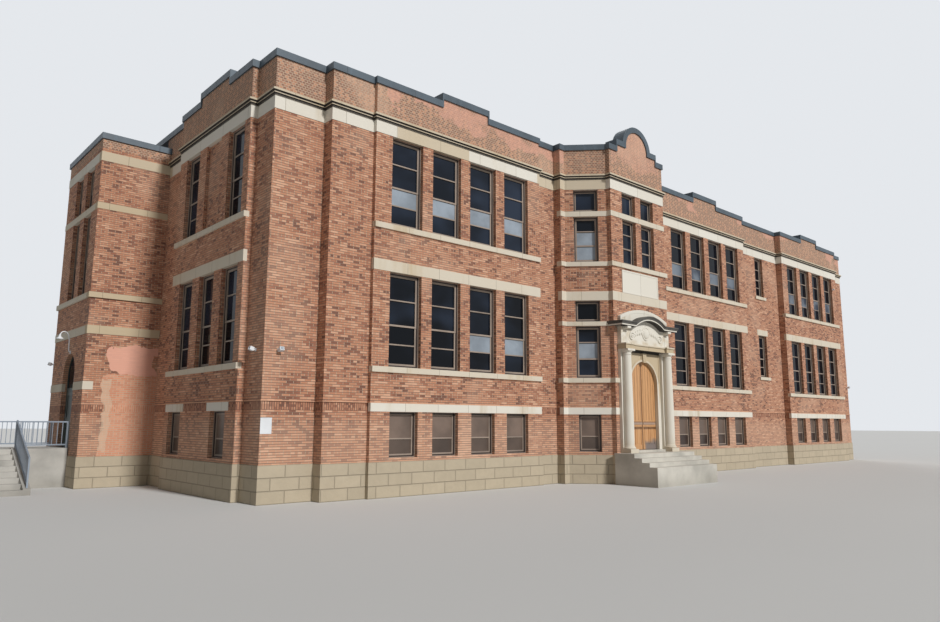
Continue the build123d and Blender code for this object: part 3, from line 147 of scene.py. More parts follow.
class StoneSettings(bpy.types.PropertyGroup):
    block: length_prop("Block length", "Length of one stone in a course", 0.62)
    joint: length_prop("Stone joint", "Width of a joint between stones", 0.004)
    pale: colour_prop("Pale stone", "Clean limestone", 219, 214, 202)
    stained: colour_prop("Stained stone", "Limestone where water runs", 184, 163, 128)
    # Also the colour of the painted shade under the cornice's steps, under the hood and along the head of
    # the portal's panel
    soot_and_shade: colour_prop("Soot", "Black crust on mouldings that rain doesn't reach", 34, 31, 30)
    rubble: colour_prop("Footing", "Colour of the footing's blocks", 188, 174, 150)
    rubble_block: length_prop("Footing block", "Length of a block in the footing", 0.42)
    rubble_course: length_prop("Footing course", "Height of the footing's courses", 0.1667)
    carving_radius: length_prop("Carving radius", "Size of the carved cartouche", 0.095)
    carving_height: length_prop("Carving height", "Height of the cartouche's middle", 2.705)
    hood_arch: length_prop("Hood arch", "Width of the arch in the portal's hood", 0.90)
    hood_rise: length_prop("Hood rise", "Height of that arch", 0.14)
    hood_return: length_prop("Hood return", "How far the hood runs back round the corners", 0.092)
    cap_width: length_prop("Cap width", "Width of the stone over the hood", 1.485)
    cap_rise: length_prop("Cap rise", "Height of its arch", 0.165)


class WindowSettings(bpy.types.PropertyGroup):
    stile: length_prop("Sash stile", "Width of a sash's edge", 0.028)
    bar: length_prop("Glazing bar", "Width of a bar between two lights", 0.020)
    upper_depth: length_prop("Upper sash depth", "How far the upper sash stands before the glass", 0.018)
    lower_depth: length_prop("Lower sash depth", "How far the lower sash stands before the glass", 0.010)
    bead: length_prop("Bead", "Width of the bead round a frame", 0.011)
    rim: length_prop("Frame rim", "How far a frame shows round its glass", 0.03)
    rim_front: length_prop("Rim front", "How far a frame's front stands before its glass", 0.0225)
    light_rim: length_prop("Light rim", "Width of the raised rim of a pale light", 0.006)
    light_depth: length_prop("Light depth", "Thickness of a pale light", 0.004)
    gap: length_prop("Glass gap", "Room between the glass and what stands before it", 0.001)
    meeting: number_prop("Meeting rail", "Height of the meeting rail, as a share from the top", 0.56)
    low_meeting: number_prop("Low meeting rail", "The same in the windows of the entrance bay", 0.64)
    sash_colour: colour_prop("Sash paint", "Beige paint of the sashes", 156, 140, 126)
    frame_colour: colour_prop("Frame paint", "Dark brown paint of the frames", 52, 40, 36)
    glass_colour: colour_prop("Glass", "The panes at their darkest", 14, 17, 22)
    # Painted reflection: the colour of the sky painted into the panes
    glass_sky: colour_prop("Glass with sky", "The panes where they show the sky", 44, 53, 68)
    blind_colour: colour_prop("Pale light", "Frosted lights in the windows", 152, 162, 172)
    board_colour: colour_prop("Tan light", "Boarded lights in the basement", 124, 106, 94)


class RoofSettings(bpy.types.PropertyGroup):
    seam: length_prop("Coping seam", "From one joint of the coping to the next", 1.22)
    coping_colour: colour_prop("Coping", "Slate-blue paint of the coping", 76, 88, 97)
    roll: length_prop("Felt roll", "Width of a roll of felt", 0.5)
    felt_colour: colour_prop("Roof felt", "Colour of the flat roofs", 98, 98, 100)


class DoorSettings(bpy.types.PropertyGroup):
    oak_pale: colour_prop("Pale oak", "Oak between its grain lines", 204, 154, 104)
    oak_dark: colour_prop("Dark oak", "Oak in its grain lines", 142, 96, 58)
    weathered: colour_prop("Weathered oak", "Grey wood where the finish has gone", 112, 108, 108)
    stile: length_prop("Door stile", "Width of a leaf's plain edge", 0.045)
    board: length_prop("Door board", "Width of one upright board", 0.0825)
    side_door: colour_prop("Side door", "Paint of the side door", 50, 62, 58)


class FittingSettings(bpy.types.PropertyGroup):
    white: colour_prop("White fittings", "Paint of lamps and boxes", 226, 228, 230)
    railing: colour_prop("Railing", "Grey-blue paint of the railings", 142, 152, 164)
    concrete: colour_prop("Concrete", "Colour of the landing and steps", 186, 182, 174)
    lamp_size: length_prop("Lamp size", "Width of a wall lamp's body", 0.066)


SETTINGS = {
    "school_stage": StageSettings,
    "school_brick": BrickSettings,
    "school_stone": StoneSettings,
    "school_window": WindowSettings,
    "school_roof": RoofSettings,
    "school_door": DoorSettings,
    "school_fitting": FittingSettings,
}


# Shader maths


class Wire:
    """An output socket of a node; each operator on it adds one Math node."""

    def __init__(self, nodes, socket):
        self.nodes = nodes
        self.socket = socket

    def math(self, operation, *values):
        return self.nodes.node("ShaderNodeMath", {"operation": operation}, dict(enumerate(values)))

    def __add__(self, other):
        return self.math("ADD", self, other)

    def __sub__(self, other):
        return self.math("SUBTRACT", self, other)

    def __rsub__(self, other):
        return self.math("SUBTRACT", other, self)

    def __mul__(self, other):
        return self.math("MULTIPLY", self, other)

    def __truediv__(self, other):
        return self.math("DIVIDE", self, other)

    def __mod__(self, other):
        return self.math("FLOORED_MODULO", self, other)

    def __gt__(self, other):
        return self.math("GREATER_THAN", self, other)

    def __lt__(self, other):
        return self.math("LESS_THAN", self, other)

    def __and__(self, other):
        return self.math("MINIMUM", self, other)

    def __or__(self, other):
        return self.math("MAXIMUM", self, other)

    __radd__ = __add__
    __rmul__ = __mul__

    def floor(self):
        return self.math("FLOOR", self)

    def fraction(self):
        return self.math("FRACT", self)

    def absolute(self):
        return self.math("ABSOLUTE", self)

    def to_edge(self, size):
        """How far a share of a length is from the nearer end of that length."""
        return (self & (1.0 - self)) * size

    def rise(self, low, high):
        """0 below low, 1 above high, and smooth between them."""
        return self.nodes.node("ShaderNodeMapRange", {"interpolation_type": "SMOOTHSTEP"},
                               {"Value": self, "From Min": low, "From Max": high})

    def between(self, low, high):
        return (self > low) & (self < high)


class Nodes:
    """A tree of nodes; node() adds one to it and gives a wire from it."""

    def __init__(self, tree):
        self.tree = tree

    def node(self, kind, settings=None, inputs=None, output=0):
        """Any node: its settings first, then values or wires for its sockets."""
        node = self.tree.nodes.new(kind)
        for name, value in (settings or {}).items():
            if name == "stops":
                self.set_stops(node.color_ramp, value)
            else:
                setattr(node, name, value)
        for key, value in (inputs or {}).items():
            self.feed(node.inputs[key], value)
        return Wire(self, node.outputs[output])

    def set_stops(self, ramp, stops):
        while len(ramp.elements) < len(stops):
            ramp.elements.new(1.0)
        for element, (place, colour) in zip(ramp.elements, stops):
            element.position = place
            element.color = (*colour, 1.0)

    def feed(self, socket, value):
        if isinstance(value, Wire):
            self.tree.links.new(value.socket, socket)
        elif socket.type == "RGBA" and len(value) == 3:
            socket.default_value = (*value, 1.0)
        else:
            socket.default_value = value


class Finish(Nodes):
    """A material being made, whose nodes feed its one shader."""

    def __init__(self, name, **constants):
        self.material = bpy.data.materials.new(name)
        self.material.use_nodes = True
        super().__init__(self.material.node_tree)
        self.shader = self.tree.nodes["Principled BSDF"]
        self.set(**constants)

    def set(self, **values):
        """Sets or feeds the shader's sockets, named with underscores for spaces."""
        for name, value in values.items():
            key = name.replace("_", " ").title().replace("Ior", "IOR")
            self.feed(self.shader.inputs[key], value)

    def place(self):
        return self.node("ShaderNodeTexCoord", output="Object")

    def split(self, vector):
        """The X, Y and Z of a vector."""
        node = self.tree.nodes.new("ShaderNodeSeparateXYZ")
        self.feed(node.inputs[0], vector)
        return [Wire(self, output) for output in node.outputs]

    def spot(self):
        """The X, Y and Z of a place on the object."""
        return self.split(self.place())

    def height(self):
        return self.spot()[2]

    def facing(self):
        """The X, Y and Z of the way that a face looks."""
        return self.split(self.node("ShaderNodeNewGeometry", output="True Normal"))

    def canted(self):
        """1 on the walls that stand askew, beside the entrance."""
        return self.facing()[0].absolute().between(0.4, 0.9)

    def chance(self, column, row=None):
        """A number from 0 to 1 for each cell of a pattern."""
        if row is None:
            return self.node("ShaderNodeTexWhiteNoise", {"noise_dimensions": "1D"}, {"W": column})
        cell = self.node("ShaderNodeCombineXYZ", None, {0: column, 1: row})
        return self.node("ShaderNodeTexWhiteNoise", {"noise_dimensions": "2D"}, {"Vector": cell})

    def noise(self, scale, detail=3.0, place=None, roughness=0.55):
        return self.node("ShaderNodeTexNoise", None,
                         {"Vector": place or self.place(), "Scale": scale, "Detail": detail,
                          "Roughness": roughness})

    def stretched(self, x, y, z):
        """Object coordinates with each axis scaled."""
        return self.node("ShaderNodeMapping", None, {"Vector": self.place(), "Scale": (x, y, z)})

    def mix(self, share, start, end):
        """One colour passing into another."""
        return self.node("ShaderNodeMix", {"data_type": "RGBA"}, {0: share, 6: start, 7: end}, output=2)

    def ramp(self, share, stops):
        return self.node("ShaderNodeValToRGB", {"stops": stops}, {0: share})

    def bump(self, height, distance, strength):
        self.set(normal=self.node("ShaderNodeBump", None,
                                  {"Height": height, "Distance": distance, "Strength": strength}))

    def underside(self):
        """1 on faces that look down."""
        return self.facing()[2] < -0.5

    def wall_axes(self):
        """Along a wall and up it, whichever way it faces, or along and across a face that lies flat."""
        x, y, z = self.spot()
        face_x, face_y, face_z = self.facing()
        flat = face_z.absolute() > 0.7
        return y * face_x - x * face_y + flat * x, z - flat * (z - y)


# Finishes


def paint(name, colour, roughness, metallic=0.0, mottle=0.12):
    """A painted surface with slight variation and dirt."""
    f = Finish(name, metallic=metallic)
    cloud = f.noise(2.2, 4.0)
    grain = f.noise(60.0, 2.0)
    f.set(base_color=f.mix(cloud.rise(0.35, 0.75), colour, scaled(colour, 1.0 - 2.5 * mottle)),
          roughness=roughness + 0.15 * cloud)
    f.bump(grain, 0.0006, 0.5)
    return f.material


def brick_finish():
    """Common bond with a header course every so many, flashed bricks and pale mortar."""
    s = bpy.context.scene.school_brick
    f = Finish("brick")
    along, up = f.wall_axes()
    height = f.height()
    row = (up / s.course).floor()
    parapet = height > s.parapet
    header = ((row % s.header_every) < 0.5) | parapet
    brick_length = s.length - header * (s.length / 2)
    run = along / brick_length + (row % 2.0) * 0.5
    rise = up / s.course - row

    # The soldier course stands its bricks on end
    belt = height.between(s.belt_low, s.belt_high)
    belt_height = s.belt_high - s.belt_low
    run = run + belt * (along / s.course - run)
    rise = rise + belt * ((height - s.belt_low) / belt_height - rise)
    wide = brick_length + belt * (s.course - brick_length)
    tall = s.course + belt * (belt_height - s.course)

    column = run.floor()
    edge = run.fraction().to_edge(wide) & rise.to_edge(tall)
    body = edge.rise(s.joint * 0.3, s.joint * 0.7)

    # Painted shade: the raked bed joints are coloured as if in shadow
    bed = ((1.0 - rise.rise(0.06, 0.09)) | rise.rise(0.82, 0.87)) * (1.0 - belt)

    # Each brick's own tone, darker where it is flashed or part of a pattern
    patches = f.noise(0.75)
    flash = f.noise(2.6, 4.0, f.stretched(1.0, 1.0, 0.4))
    lattice = panel_pattern(f, along, row, s) * (1.0 - belt)
    parged, rebuilt, smeared = tower_repairs(f)
    chance = f.chance(column, row + belt * 500.0)
    dark = (lattice * 0.50) | (parapet * (((column + row) % 2.0) < 0.5) * 0.45)
    tone = chance + (flash - 0.52) * 0.9 - dark - parapet * 0.30 + rebuilt * 0.25
    colour = f.ramp(tone, [
        (0.0, s.flashed), (0.18, s.red), (0.42, s.orange), (0.74, s.orange), (1.0, s.salmon)])

    # Pale smears, the belt, the joints and the repairs over them
    low = 1.0 - height.rise(0.95, 1.22)
    smear = patches.rise(0.52, 0.64) * 0.30 + parapet * 0.18 + low * 0.34
    colour = f.mix(smear, colour, s.repointed)
    colour = f.mix(rebuilt * 0.6, colour, s.rebuilt)
    kept_belt = belt * (1.0 - rebuilt)
    colour = f.mix(kept_belt * 0.2, colour, s.shadow)
    mortar = f.mix(f.noise(3.0), s.mortar, scaled(s.mortar, 0.72))
    line = height.between(s.belt_high, s.belt_high + 0.018) * (1.0 - rebuilt)
    colour = f.mix(line * 0.7, f.mix(body, mortar, colour), s.salmon)
    colour = f.mix(bed * (1.0 - (rebuilt | parapet) * 0.7) * 0.72, colour, s.shadow)
    # Painted shade in the soldier course's joints
    colour = f.mix(kept_belt * (1.0 - edge.rise(s.joint * 0.5, s.joint * 1.2)) * 0.9, colour, s.shadow)
    colour = f.mix((rebuilt | parapet) * (1.0 - body) * 0.7, colour, s.mortar)
    colour = f.mix(pink_patches(f, patches) * 0.55, colour, s.parged)
    colour = f.mix(smeared * 0.5, colour, s.mortar)
    f.set(base_color=f.mix(parged * 0.9, colour, s.parged), roughness=0.82 + 0.12 * chance)
    f.bump(body * (0.75 + chance * 0.25) * (1.0 - parged * 0.8) + f.noise(90.0) * 0.22, 0.004, 0.8)
    return f.material


def pink_patches(f, patches):
    """Smooth pink repairs along the top of the front's parapets."""
    x, y, z = f.spot()
    bays = x.between(-5.4, -1.4) | x.between(-0.8, 0.8) * 0.55 | (x > 1.4)
    ragged = z + (f.noise(2.4, 4.0) - 0.5) * 0.9
    return bays * (y < 0.6) * ragged.rise(5.93, 5.97) * patches.rise(0.44, 0.50)


def panel_pattern(f, along, row, s):
    """Dark headers set in a lattice, in the panels of the canted walls."""
    x, _, z = f.spot()
    panel = z.between(1.46, 1.74) | z.between(3.52, 3.86) | z.between(5.74, 6.12)
    across = x.absolute().between(0.93, 1.31)
    header = (along / (s.length / 2)).floor()
    dark = ((header + row * 0.5) % 2.0) < 0.75
    return f.canted() & panel & across & ((row % 2.0) < 0.5) & dark


def tower_repairs(f):
    """On the tower's front: a smooth parged patch, new bricks below it, and a smear of mortar."""
    x, y, z = f.spot()
    rough = f.noise(3.2, 4.0) - 0.5
    ragged = x + rough * 0.45
    level = z + rough * 0.30
    face = (y - TOWER_FACE).absolute() < 0.01
    parged = ragged.between(-7.86, -7.12) & level.between(1.80, 2.29) & (ragged * 0.6 + level > -2.84)
    rebuilt = (ragged > -7.93) & (level < 1.80)
    smeared = (x + rough * 0.3).between(-7.94, -7.80) & level.between(0.60, 1.76)
    return face & parged, face & rebuilt, face & smeared


def limestone_finish(name, block, stain=0.5, wet_foot=None, tan=None, soot_and_shade=None):
    """Sawn stone in long blocks, with fine joints, grain, water stains, soot and painted shade."""
    s = bpy.context.scene.school_stone
    f = Finish(name)
    cell = f.wall_axes()[0] / block
    cloud = f.noise(1.1, 5.0, f.stretched(1.0, 1.0, 0.4))
    streak = f.noise(6.0, 4.0, f.stretched(1.0, 1.0, 0.12))
    stained = (cloud * 0.6 + streak * 0.4).rise(0.62 - 0.25 * stain, 0.86 - 0.2 * stain)
    joint = 1.0 - cell.fraction().to_edge(block).rise(s.joint * 0.3, s.joint)
    colour = f.mix(stained * 0.85 + f.chance(cell.floor()) * 0.15, s.pale, s.stained)
    if wet_foot is not None:
        colour = f.mix((1.0 - f.height().rise(wet_foot, wet_foot + 0.35)) * 0.4, colour, s.stained)
    colour = f.mix(tower_tan(f), colour, s.stained)
    if tan is not None:
        colour = f.mix(tan(f) * (0.70 + 0.3 * cloud), colour, s.stained)
    # Darkened towards the soot colour by the mask given: real soot on some mouldings, painted shade on
    # others
    if soot_and_shade is not None:
        colour = f.mix(soot_and_shade(f) * (0.90 + 0.1 * streak), colour, s.soot_and_shade)
    f.set(base_color=f.mix(joint * 0.8, colour, scaled(s.stained, 0.35)), roughness=0.72 + 0.2 * cloud)
    f.bump((1.0 - joint) * 0.7 + f.noise(45.0, 4.0) * 0.3, 0.003, 0.6)
    return f.material


def tower_tan(f):
    """The upper stone of the tower's front is tan, but for one new piece at its right."""
    x, y, z = f.spot()
    new = (x > -7.30) & z.between(3.9, 4.2)
    return (y - TOWER_FACE).absolute().rise(0.15, 0.10) * z.rise(2.2, 2.3) * (1.0 - new) * 0.72


def course_tan(f):
    """The courses higher up are duller than the base course."""
    return f.height().rise(1.5, 1.6) * 0.42


def frieze_tan(f):
    """The canted stretches of the frieze are stained, and parts of the left bay's."""
    x, y, _ = f.spot()
    bay = (x.between(-5.20, -3.72) | x.between(-2.05, -1.40)) & (y < 0.2)
    return (f.canted() | bay) * 0.75


def cornice_tan(f):
    """The cornice is stained all along."""
    return 0.75


def cornice_shade(f):
    """Painted shade: dark lines under the steps of the cornice, and on its underside."""
    low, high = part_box("cornice")
    share = (f.height() - low.z) / (high.z - low.z)
    return share.between(0.02, 0.36) | share.between(0.48, 0.72) | f.underside()


def hood_soot_and_shade(f):
    """The hood's mouldings are black with soot but for the line along their middle, and the faces that look
    down take painted shade.
    """
    _, y, z = f.spot()
    moulding = (PORTAL_FACE - y > 0.10) & (z > 2.78)
    return moulding | f.underside()


def hood_tan(f):
    """The architrave is tan, and so are the ends and the foot of the tympanum."""
    x, _, z = f.spot()
    ends = x.absolute().rise(0.30, 0.62) | (1.0 - z.rise(2.52, 2.60))
    return (1.0 - z.rise(2.45, 2.50)) | (ends * f.noise(7.0, 4.0).rise(0.35, 0.65) * 0.6)


def crust(f):
    """Black all over, thinner where water has run."""
    return 0.88 + f.noise(5.0, 4.0, f.stretched(1.0, 1.0, 0.3)) * 0.12


def panel_tan(f):
    """The spandrels and the keystone are tan, and the rim of the arch pale."""
    _, y, z = f.spot()
    out = PORTAL_FACE - y
    return ((out < 0.016) | (out > 0.030) | z.rise(1.75, 1.95) * 0.6) & z.rise(1.2, 1.8)


def panel_shade(f):
    """A painted shadow along the head of the panel, under the architrave."""
    return f.height().rise(2.335, 2.345)


def foundation_finish():
    """Rough blocks in level courses."""
    s = bpy.context.scene.school_stone
    f = Finish("foundation_stone")
    along, up = f.wall_axes()
    level = up / s.rubble_course
    row = level.floor()
    run = along / s.rubble_block + (row % 2.0) * 0.5
    edge = run.fraction().to_edge(s.rubble_block) & level.fraction().to_edge(s.rubble_course)
    body = edge.rise(0.003, 0.009)
    rough = f.noise(9.0, 5.0)
    colour = f.mix(f.chance(run.floor(), row) * 0.25 + rough * 0.45, s.rubble, scaled(s.rubble, 0.66))
    f.set(base_color=f.mix(body, scaled(s.rubble, 0.62), colour), roughness=0.9)
    f.bump(body * 0.6 + rough * 0.7, 0.02, 0.7)
    return f.material


def coping_finish():
    """Painted sheet with a joint every so far, dull where rain has washed it."""
    s = bpy.context.scene.school_roof
    f = Finish("coping_metal", metallic=0.1)
    seam = 1.0 - (f.wall_axes()[0] / s.seam).fraction().to_edge(s.seam).rise(0.002, 0.007)
    cloud = f.noise(1.6, 4.0)
    wash = f.noise(9.0, 3.0, f.stretched(1.0, 1.0, 0.1))
    colour = f.mix(cloud.rise(0.4, 0.7), s.coping_colour, scaled(s.coping_colour, 0.68))
    colour = f.mix(wash.rise(0.55, 0.8) * 0.25, colour, scaled(s.coping_colour, 2.0))
    f.set(base_color=f.mix(seam * 0.6, colour, tint(28, 32, 38)), roughness=0.36 + 0.25 * wash)
    f.bump(seam + f.noise(3.0, 2.0) * 0.5, 0.003, 0.7)
    return f.material


def glass_finish():
    """Dark panes with a painted reflection: a soft cloud of the sky."""
    s = bpy.context.scene.school_window
    f = Finish("window_glass", ior=1.22)
    x, _, z = f.spot()
    cloud = f.noise(0.55, 3.0, f.stretched(1.0, 1.0, 1.6))
    wave = f.noise(1.4, 2.0)
    # Painted reflection: the sky's colour in clouds, brighter higher up and fainter towards the right
    sky = (cloud.rise(0.42, 0.68) * 0.75 + z.rise(3.4, 5.6) * 0.25) * (1.0 - x.rise(0.5, 3.0) * 0.75)
    f.set(base_color=f.mix(sky, s.glass_colour, s.glass_sky), roughness=0.04 + 0.05 * wave)
    f.bump(wave, 0.004, 0.25)
    return f.material


def frosted_finish(name, colour, dark):
    """Dusty sheet behind a light, clouded from pane to pane and darker on the right of the front."""
    f = Finish(name, ior=1.45)
    cloud = f.noise(1.8, 4.0)
    dust = f.noise(0.7, 2.0, f.stretched(1.0, 1.0, 3.0))
    right = f.spot()[0].rise(1.0, 3.0)
    colour = f.mix(cloud.rise(0.3, 0.75), colour, scaled(colour, 0.55))
    colour = f.mix(right * (0.55 + cloud.rise(0.42, 0.60) * 0.40), colour, dark)
    f.set(base_color=colour, roughness=0.22 + 0.3 * dust)
    f.bump(dust, 0.002, 0.3)
    return f.material


def oak_finish(name, weathered_side=0.0, painted_shade=0.0):
    """Boards of oak with upright grain, greyed at the foot where the weather reaches."""
    s = bpy.context.scene.school_door
    f = Finish(name, coat_roughness=0.3)
    x, _, z = f.spot()
    grain = f.noise(9.0, 6.0, f.stretched(7.0, 7.0, 0.45), 0.65)
    fibre = f.noise(30.0, 3.0, f.stretched(9.0, 9.0, 0.3))
    run = (x.absolute() - s.stile) / s.board
    share = grain.rise(0.42, 0.68) * 0.40 + f.chance(run.floor()) * 0.12
    colour = f.mix(share, s.oak_pale, s.oak_dark)
    groove = (1.0 - run.fraction().to_edge(s.board).rise(0.002, 0.007)) * z.rise(1.105, 1.112)
    rail = z.between(1.030, 1.070)
    # Painted shade: a line over the rail, a band under it, and the gap at the left leaf's meeting edge; the
    # grooves between boards are darkened too
    sunk_shade = z.between(1.070, 1.086) | z.between(0.945, 0.992) | x.between(-0.024, -0.002)
    colour = f.mix(groove * 0.45 | sunk_shade * 0.75, colour, scaled(s.oak_dark, 0.35))
    colour = f.mix(x.between(-0.001, 0.030) * 0.6, colour, s.oak_pale)
    colour = f.mix(rail * 0.6, colour, scaled(s.weathered, 1.6))
    # Painted shade: the whole piece is darkened towards dark oak, with a faint cloud
    if painted_shade:
        colour = f.mix(f.noise(2.0) * 0.1 + painted_shade, colour, scaled(s.oak_dark, 0.3))
    worn = (1.0 - (z + f.noise(6.0, 4.0) * 0.25).rise(0.80, 0.92)) * (x * weathered_side).rise(0.02, 0.12)
    f.set(base_color=f.mix(worn * 0.9, colour, s.weathered), roughness=0.38 + 0.25 * fibre,
          coat_weight=(1.0 - worn) * 0.25)
    f.bump(grain * 0.5 + fibre * 0.5, 0.0012, 0.6)
    return f.material


def concrete_finish(name, colour):
    """Cast concrete with a brushed face, darker in its wet corners."""
    f = Finish(name)
    cloud = f.noise(1.7, 5.0)
    speck = f.noise(70.0)
    colour = f.mix(cloud.rise(0.35, 0.75), colour, scaled(colour, 0.66))
    colour = f.mix((1.0 - f.height().rise(0.0, 0.25)) * 0.35, colour, tint(118, 112, 100))
    f.set(base_color=colour, roughness=0.84 + 0.1 * speck)
    f.bump(speck + cloud * 0.4, 0.0015, 0.6)
    return f.material


def felt_finish():
    """Roof felt in lapped rolls."""
    s = bpy.context.scene.school_roof
    f = Finish("roof_felt")
    roll = (f.spot()[1] / s.roll).fraction()
    lap = 1.0 - roll.to_edge(s.roll).rise(0.004, 0.014)
    cloud = f.noise(0.8, 5.0)
    grit = f.noise(160.0, 2.0)
    colour = f.mix(cloud.rise(0.35, 0.7), s.felt_colour, scaled(s.felt_colour, 0.6))
    f.set(base_color=f.mix(lap * 0.5, colour, tint(52, 52, 54)), roughness=0.9)
    f.bump(roll * 0.4 + grit * 0.3, 0.006, 0.6)
    return f.material


def dress(material, *names):
    """Gives a finish to nodes of the frame."""
    for name in names:
        node = NODES[name]
        if not node.material_slots:
            node.data.materials.append(material)
        for slot in node.material_slots:
            slot.material = material


# Modelling by hand


def deselect():
    bpy.ops.object.select_all(action="DESELECT")


def take(piece, *others):
    """Selects a piece, and makes it the active one."""
    deselect()
    for one in (piece, *others):
        one.select_set(True)
    bpy.context.view_layer.objects.active = piece


def settle(piece):
    """Puts the piece's place and turn into its mesh."""
    take(piece)
    bpy.ops.object.transform_apply(location=True, rotation=True, scale=True)
    deselect()


def named(name, material):
    """The piece that was just added, under its own name and finish."""
    piece = bpy.context.object
    piece.name = name
    piece.data.name = name
    piece.data.materials.clear()
    piece.data.materials.append(material)
    return piece


def modify(piece, kind, **settings):
    """Adds a modifier and applies it."""
    take(piece)
    modifier = piece.modifiers.new(kind.title(), kind)
    for name, value in settings.items():
        setattr(modifier, name, value)
    bpy.ops.object.modifier_apply(modifier=modifier.name)
    deselect()


class Editing:
    """Edit mode on one piece, with nothing selected to begin with."""

    def __init__(self, piece, mode="FACE"):
        self.piece = piece
        self.mode = mode

    def __enter__(self):
        take(self.piece)
        bpy.ops.object.mode_set(mode="EDIT")
        bpy.ops.mesh.select_mode(type=self.mode)
        bpy.ops.mesh.select_all(action="DESELECT")
        return self

    def __exit__(self, *problem):
        bpy.ops.object.mode_set(mode="OBJECT")
        deselect()

    def everything(self):
        bpy.ops.mesh.select_all(action="SELECT")

    def pick(self, test):
        """Selects the faces that pass a test on their middle and normal."""
        bpy.ops.mesh.select_all(action="DESELECT")
        mesh = bmesh.from_edit_mesh(self.piece.data)
        for face in mesh.faces:
            face.select_set(bool(test(face.calc_center_median(), face.normal)))
        bmesh.update_edit_mesh(self.piece.data)

    def pick_edges(self, test):
        """Selects the edges that pass a test on their two ends."""
        mesh = bmesh.from_edit_mesh(self.piece.data)
        for edge in mesh.edges:
            edge.select_set(test(edge.verts[0].co, edge.verts[1].co))
        bmesh.update_edit_mesh(self.piece.data)


def block(name, material, low, high, soft=0.003):
    """A block between two corners, with softened edges."""
    deselect()
    low, high = Vector(low), Vector(high)
    bpy.ops.mesh.primitive_cube_add(size=1, location=(low + high) / 2, scale=high - low)
    piece = named(name, material)
    settle(piece)
    if soft:
        modify(piece, "BEVEL", width=soft, segments=2, limit_method="ANGLE")
    return piece


def joined(name, pieces):
    """Several pieces made one, each already in its place."""
    take(*pieces)
    bpy.ops.object.join()
    piece = bpy.context.object
    piece.name = name
    piece.data.name = name
    settle(piece)
    return piece


def copied(piece, place):
    """A copy with its own mesh, at another place."""
    copy = piece.copy()
    copy.data = piece.data.copy()
    bpy.context.collection.objects.link(copy)
    copy.matrix_world = place
    return copy


def discard(piece):
    bpy.data.objects.remove(piece, do_unlink=True)


def finish_piece(piece, body=BUILDING):
    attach(piece, body)


def pipe(name, material, points, radius):
    """A round pipe along a smooth line of five points or more."""
    deselect()
    bpy.ops.curve.primitive_nurbs_path_add(location=(0, 0, 0))
    line = bpy.context.object
    spline = line.data.splines[0]
    spline.points.add(max(0, len(points) - len(spline.points)))
    for point, place in zip(spline.points, points):
        point.co = (*place, 1.0)
    spline.order_u = 3
    spline.use_endpoint_u = True
    line.data.bevel_depth = radius
    line.data.bevel_resolution = 3
    line.data.resolution_u = 8
    line.data.use_fill_caps = True
    take(line)
    bpy.ops.object.convert(target="MESH")
    piece = named(name, material)
    with Editing(piece) as edit:
        edit.everything()
        bpy.ops.mesh.remove_doubles(threshold=0.00005)
        bpy.ops.mesh.normals_make_consistent(inside=False)
    settle(piece)
    return piece


# Windows

Pane = namedtuple("Pane", "foot along inward width height")

# Bars, as shares of a window's height from its top
BASEMENT_BAR = 0.60
UPPER_BAR = 0.28
ENTRANCE_UPPER_BAR = 0.30
LOWER_BAR = 0.77
LOWEST_PALE = 0.97

# Sizes and places that tell one kind of window from another
LOW_WINDOW = 0.60
WIDE_WINDOW = 0.45
ENTRANCE_FACE = -0.02
SQUARE_ON = 0.99


def panes(node):
    """The rectangular panes of a glass node, read from its mesh: foot, directions and size."""
    middle = (CAD_LOW + CAD_HIGH) / 2
    mesh = bmesh.new()
    mesh.from_mesh(NODES[node].data)
    bmesh.ops.remove_doubles(mesh, verts=mesh.verts, dist=0.000001)
    found = []
    waiting = set(mesh.verts)
    while waiting:
        island = grow_island(waiting.pop())
        waiting -= island
        if len(island) == 8:
            found.append(measure_pane([vertex.co for vertex in island], middle))
    mesh.free()
    return sorted(found, key=lambda pane: (round(pane.foot.z, 3), pane.foot.x, pane.foot.y))


def grow_island(start):
    """All the vertices that edges join to one of them."""
    island = {start}
    front = [start]
    while front:
        for edge in front.pop().link_edges:
            for vertex in edge.verts:
                if vertex not in island:
                    island.add(vertex)
                    front.append(vertex)
    return island


def measure_pane(corners, middle):
    """The pane's outer lower middle, with its directions as seen from outside."""
    low = min(corner.z for corner in corners)
    high = max(corner.z for corner in corners)
    floor = [corner for corner in corners if corner.z < low + 0.001]
    centre = sum(floor, Vector()) / len(floor)
    first = floor[0]
    others = sorted(floor[1:], key=lambda corner: (corner - first).length)
    through = others[0] - first
    across = others[1] - first
    inward = through.normalized()
    if inward.dot(centre.xy.to_3d() - middle.xy.to_3d()) > 0:
        inward = -inward
    along = Vector((0, 0, 1)).cross(inward) * -1
    foot = centre - inward * (through.length / 2)
    return Pane(foot, along, inward, across.length, high - low)


def pane_place(pane, low, forward):
    """Where a piece drawn about its lower middle goes, over a pane's foot and before its face."""
    turn = Matrix((pane.along, pane.inward, (0, 0, 1))).transposed().to_4x4()
    return Matrix.Translation(pane.foot + Vector((0, 0, low)) - pane.inward * forward) @ turn


def upright_sheet(name, material, width, height):
    """A flat sheet that stands on its lower edge and faces the front."""
    deselect()
    bpy.ops.mesh.primitive_plane_add(size=1, location=(0, 0, height / 2), rotation=(math.pi / 2, 0, 0))
    piece = named(name, material)
    piece.scale = (width, height, 1)
    settle(piece)
    return piece


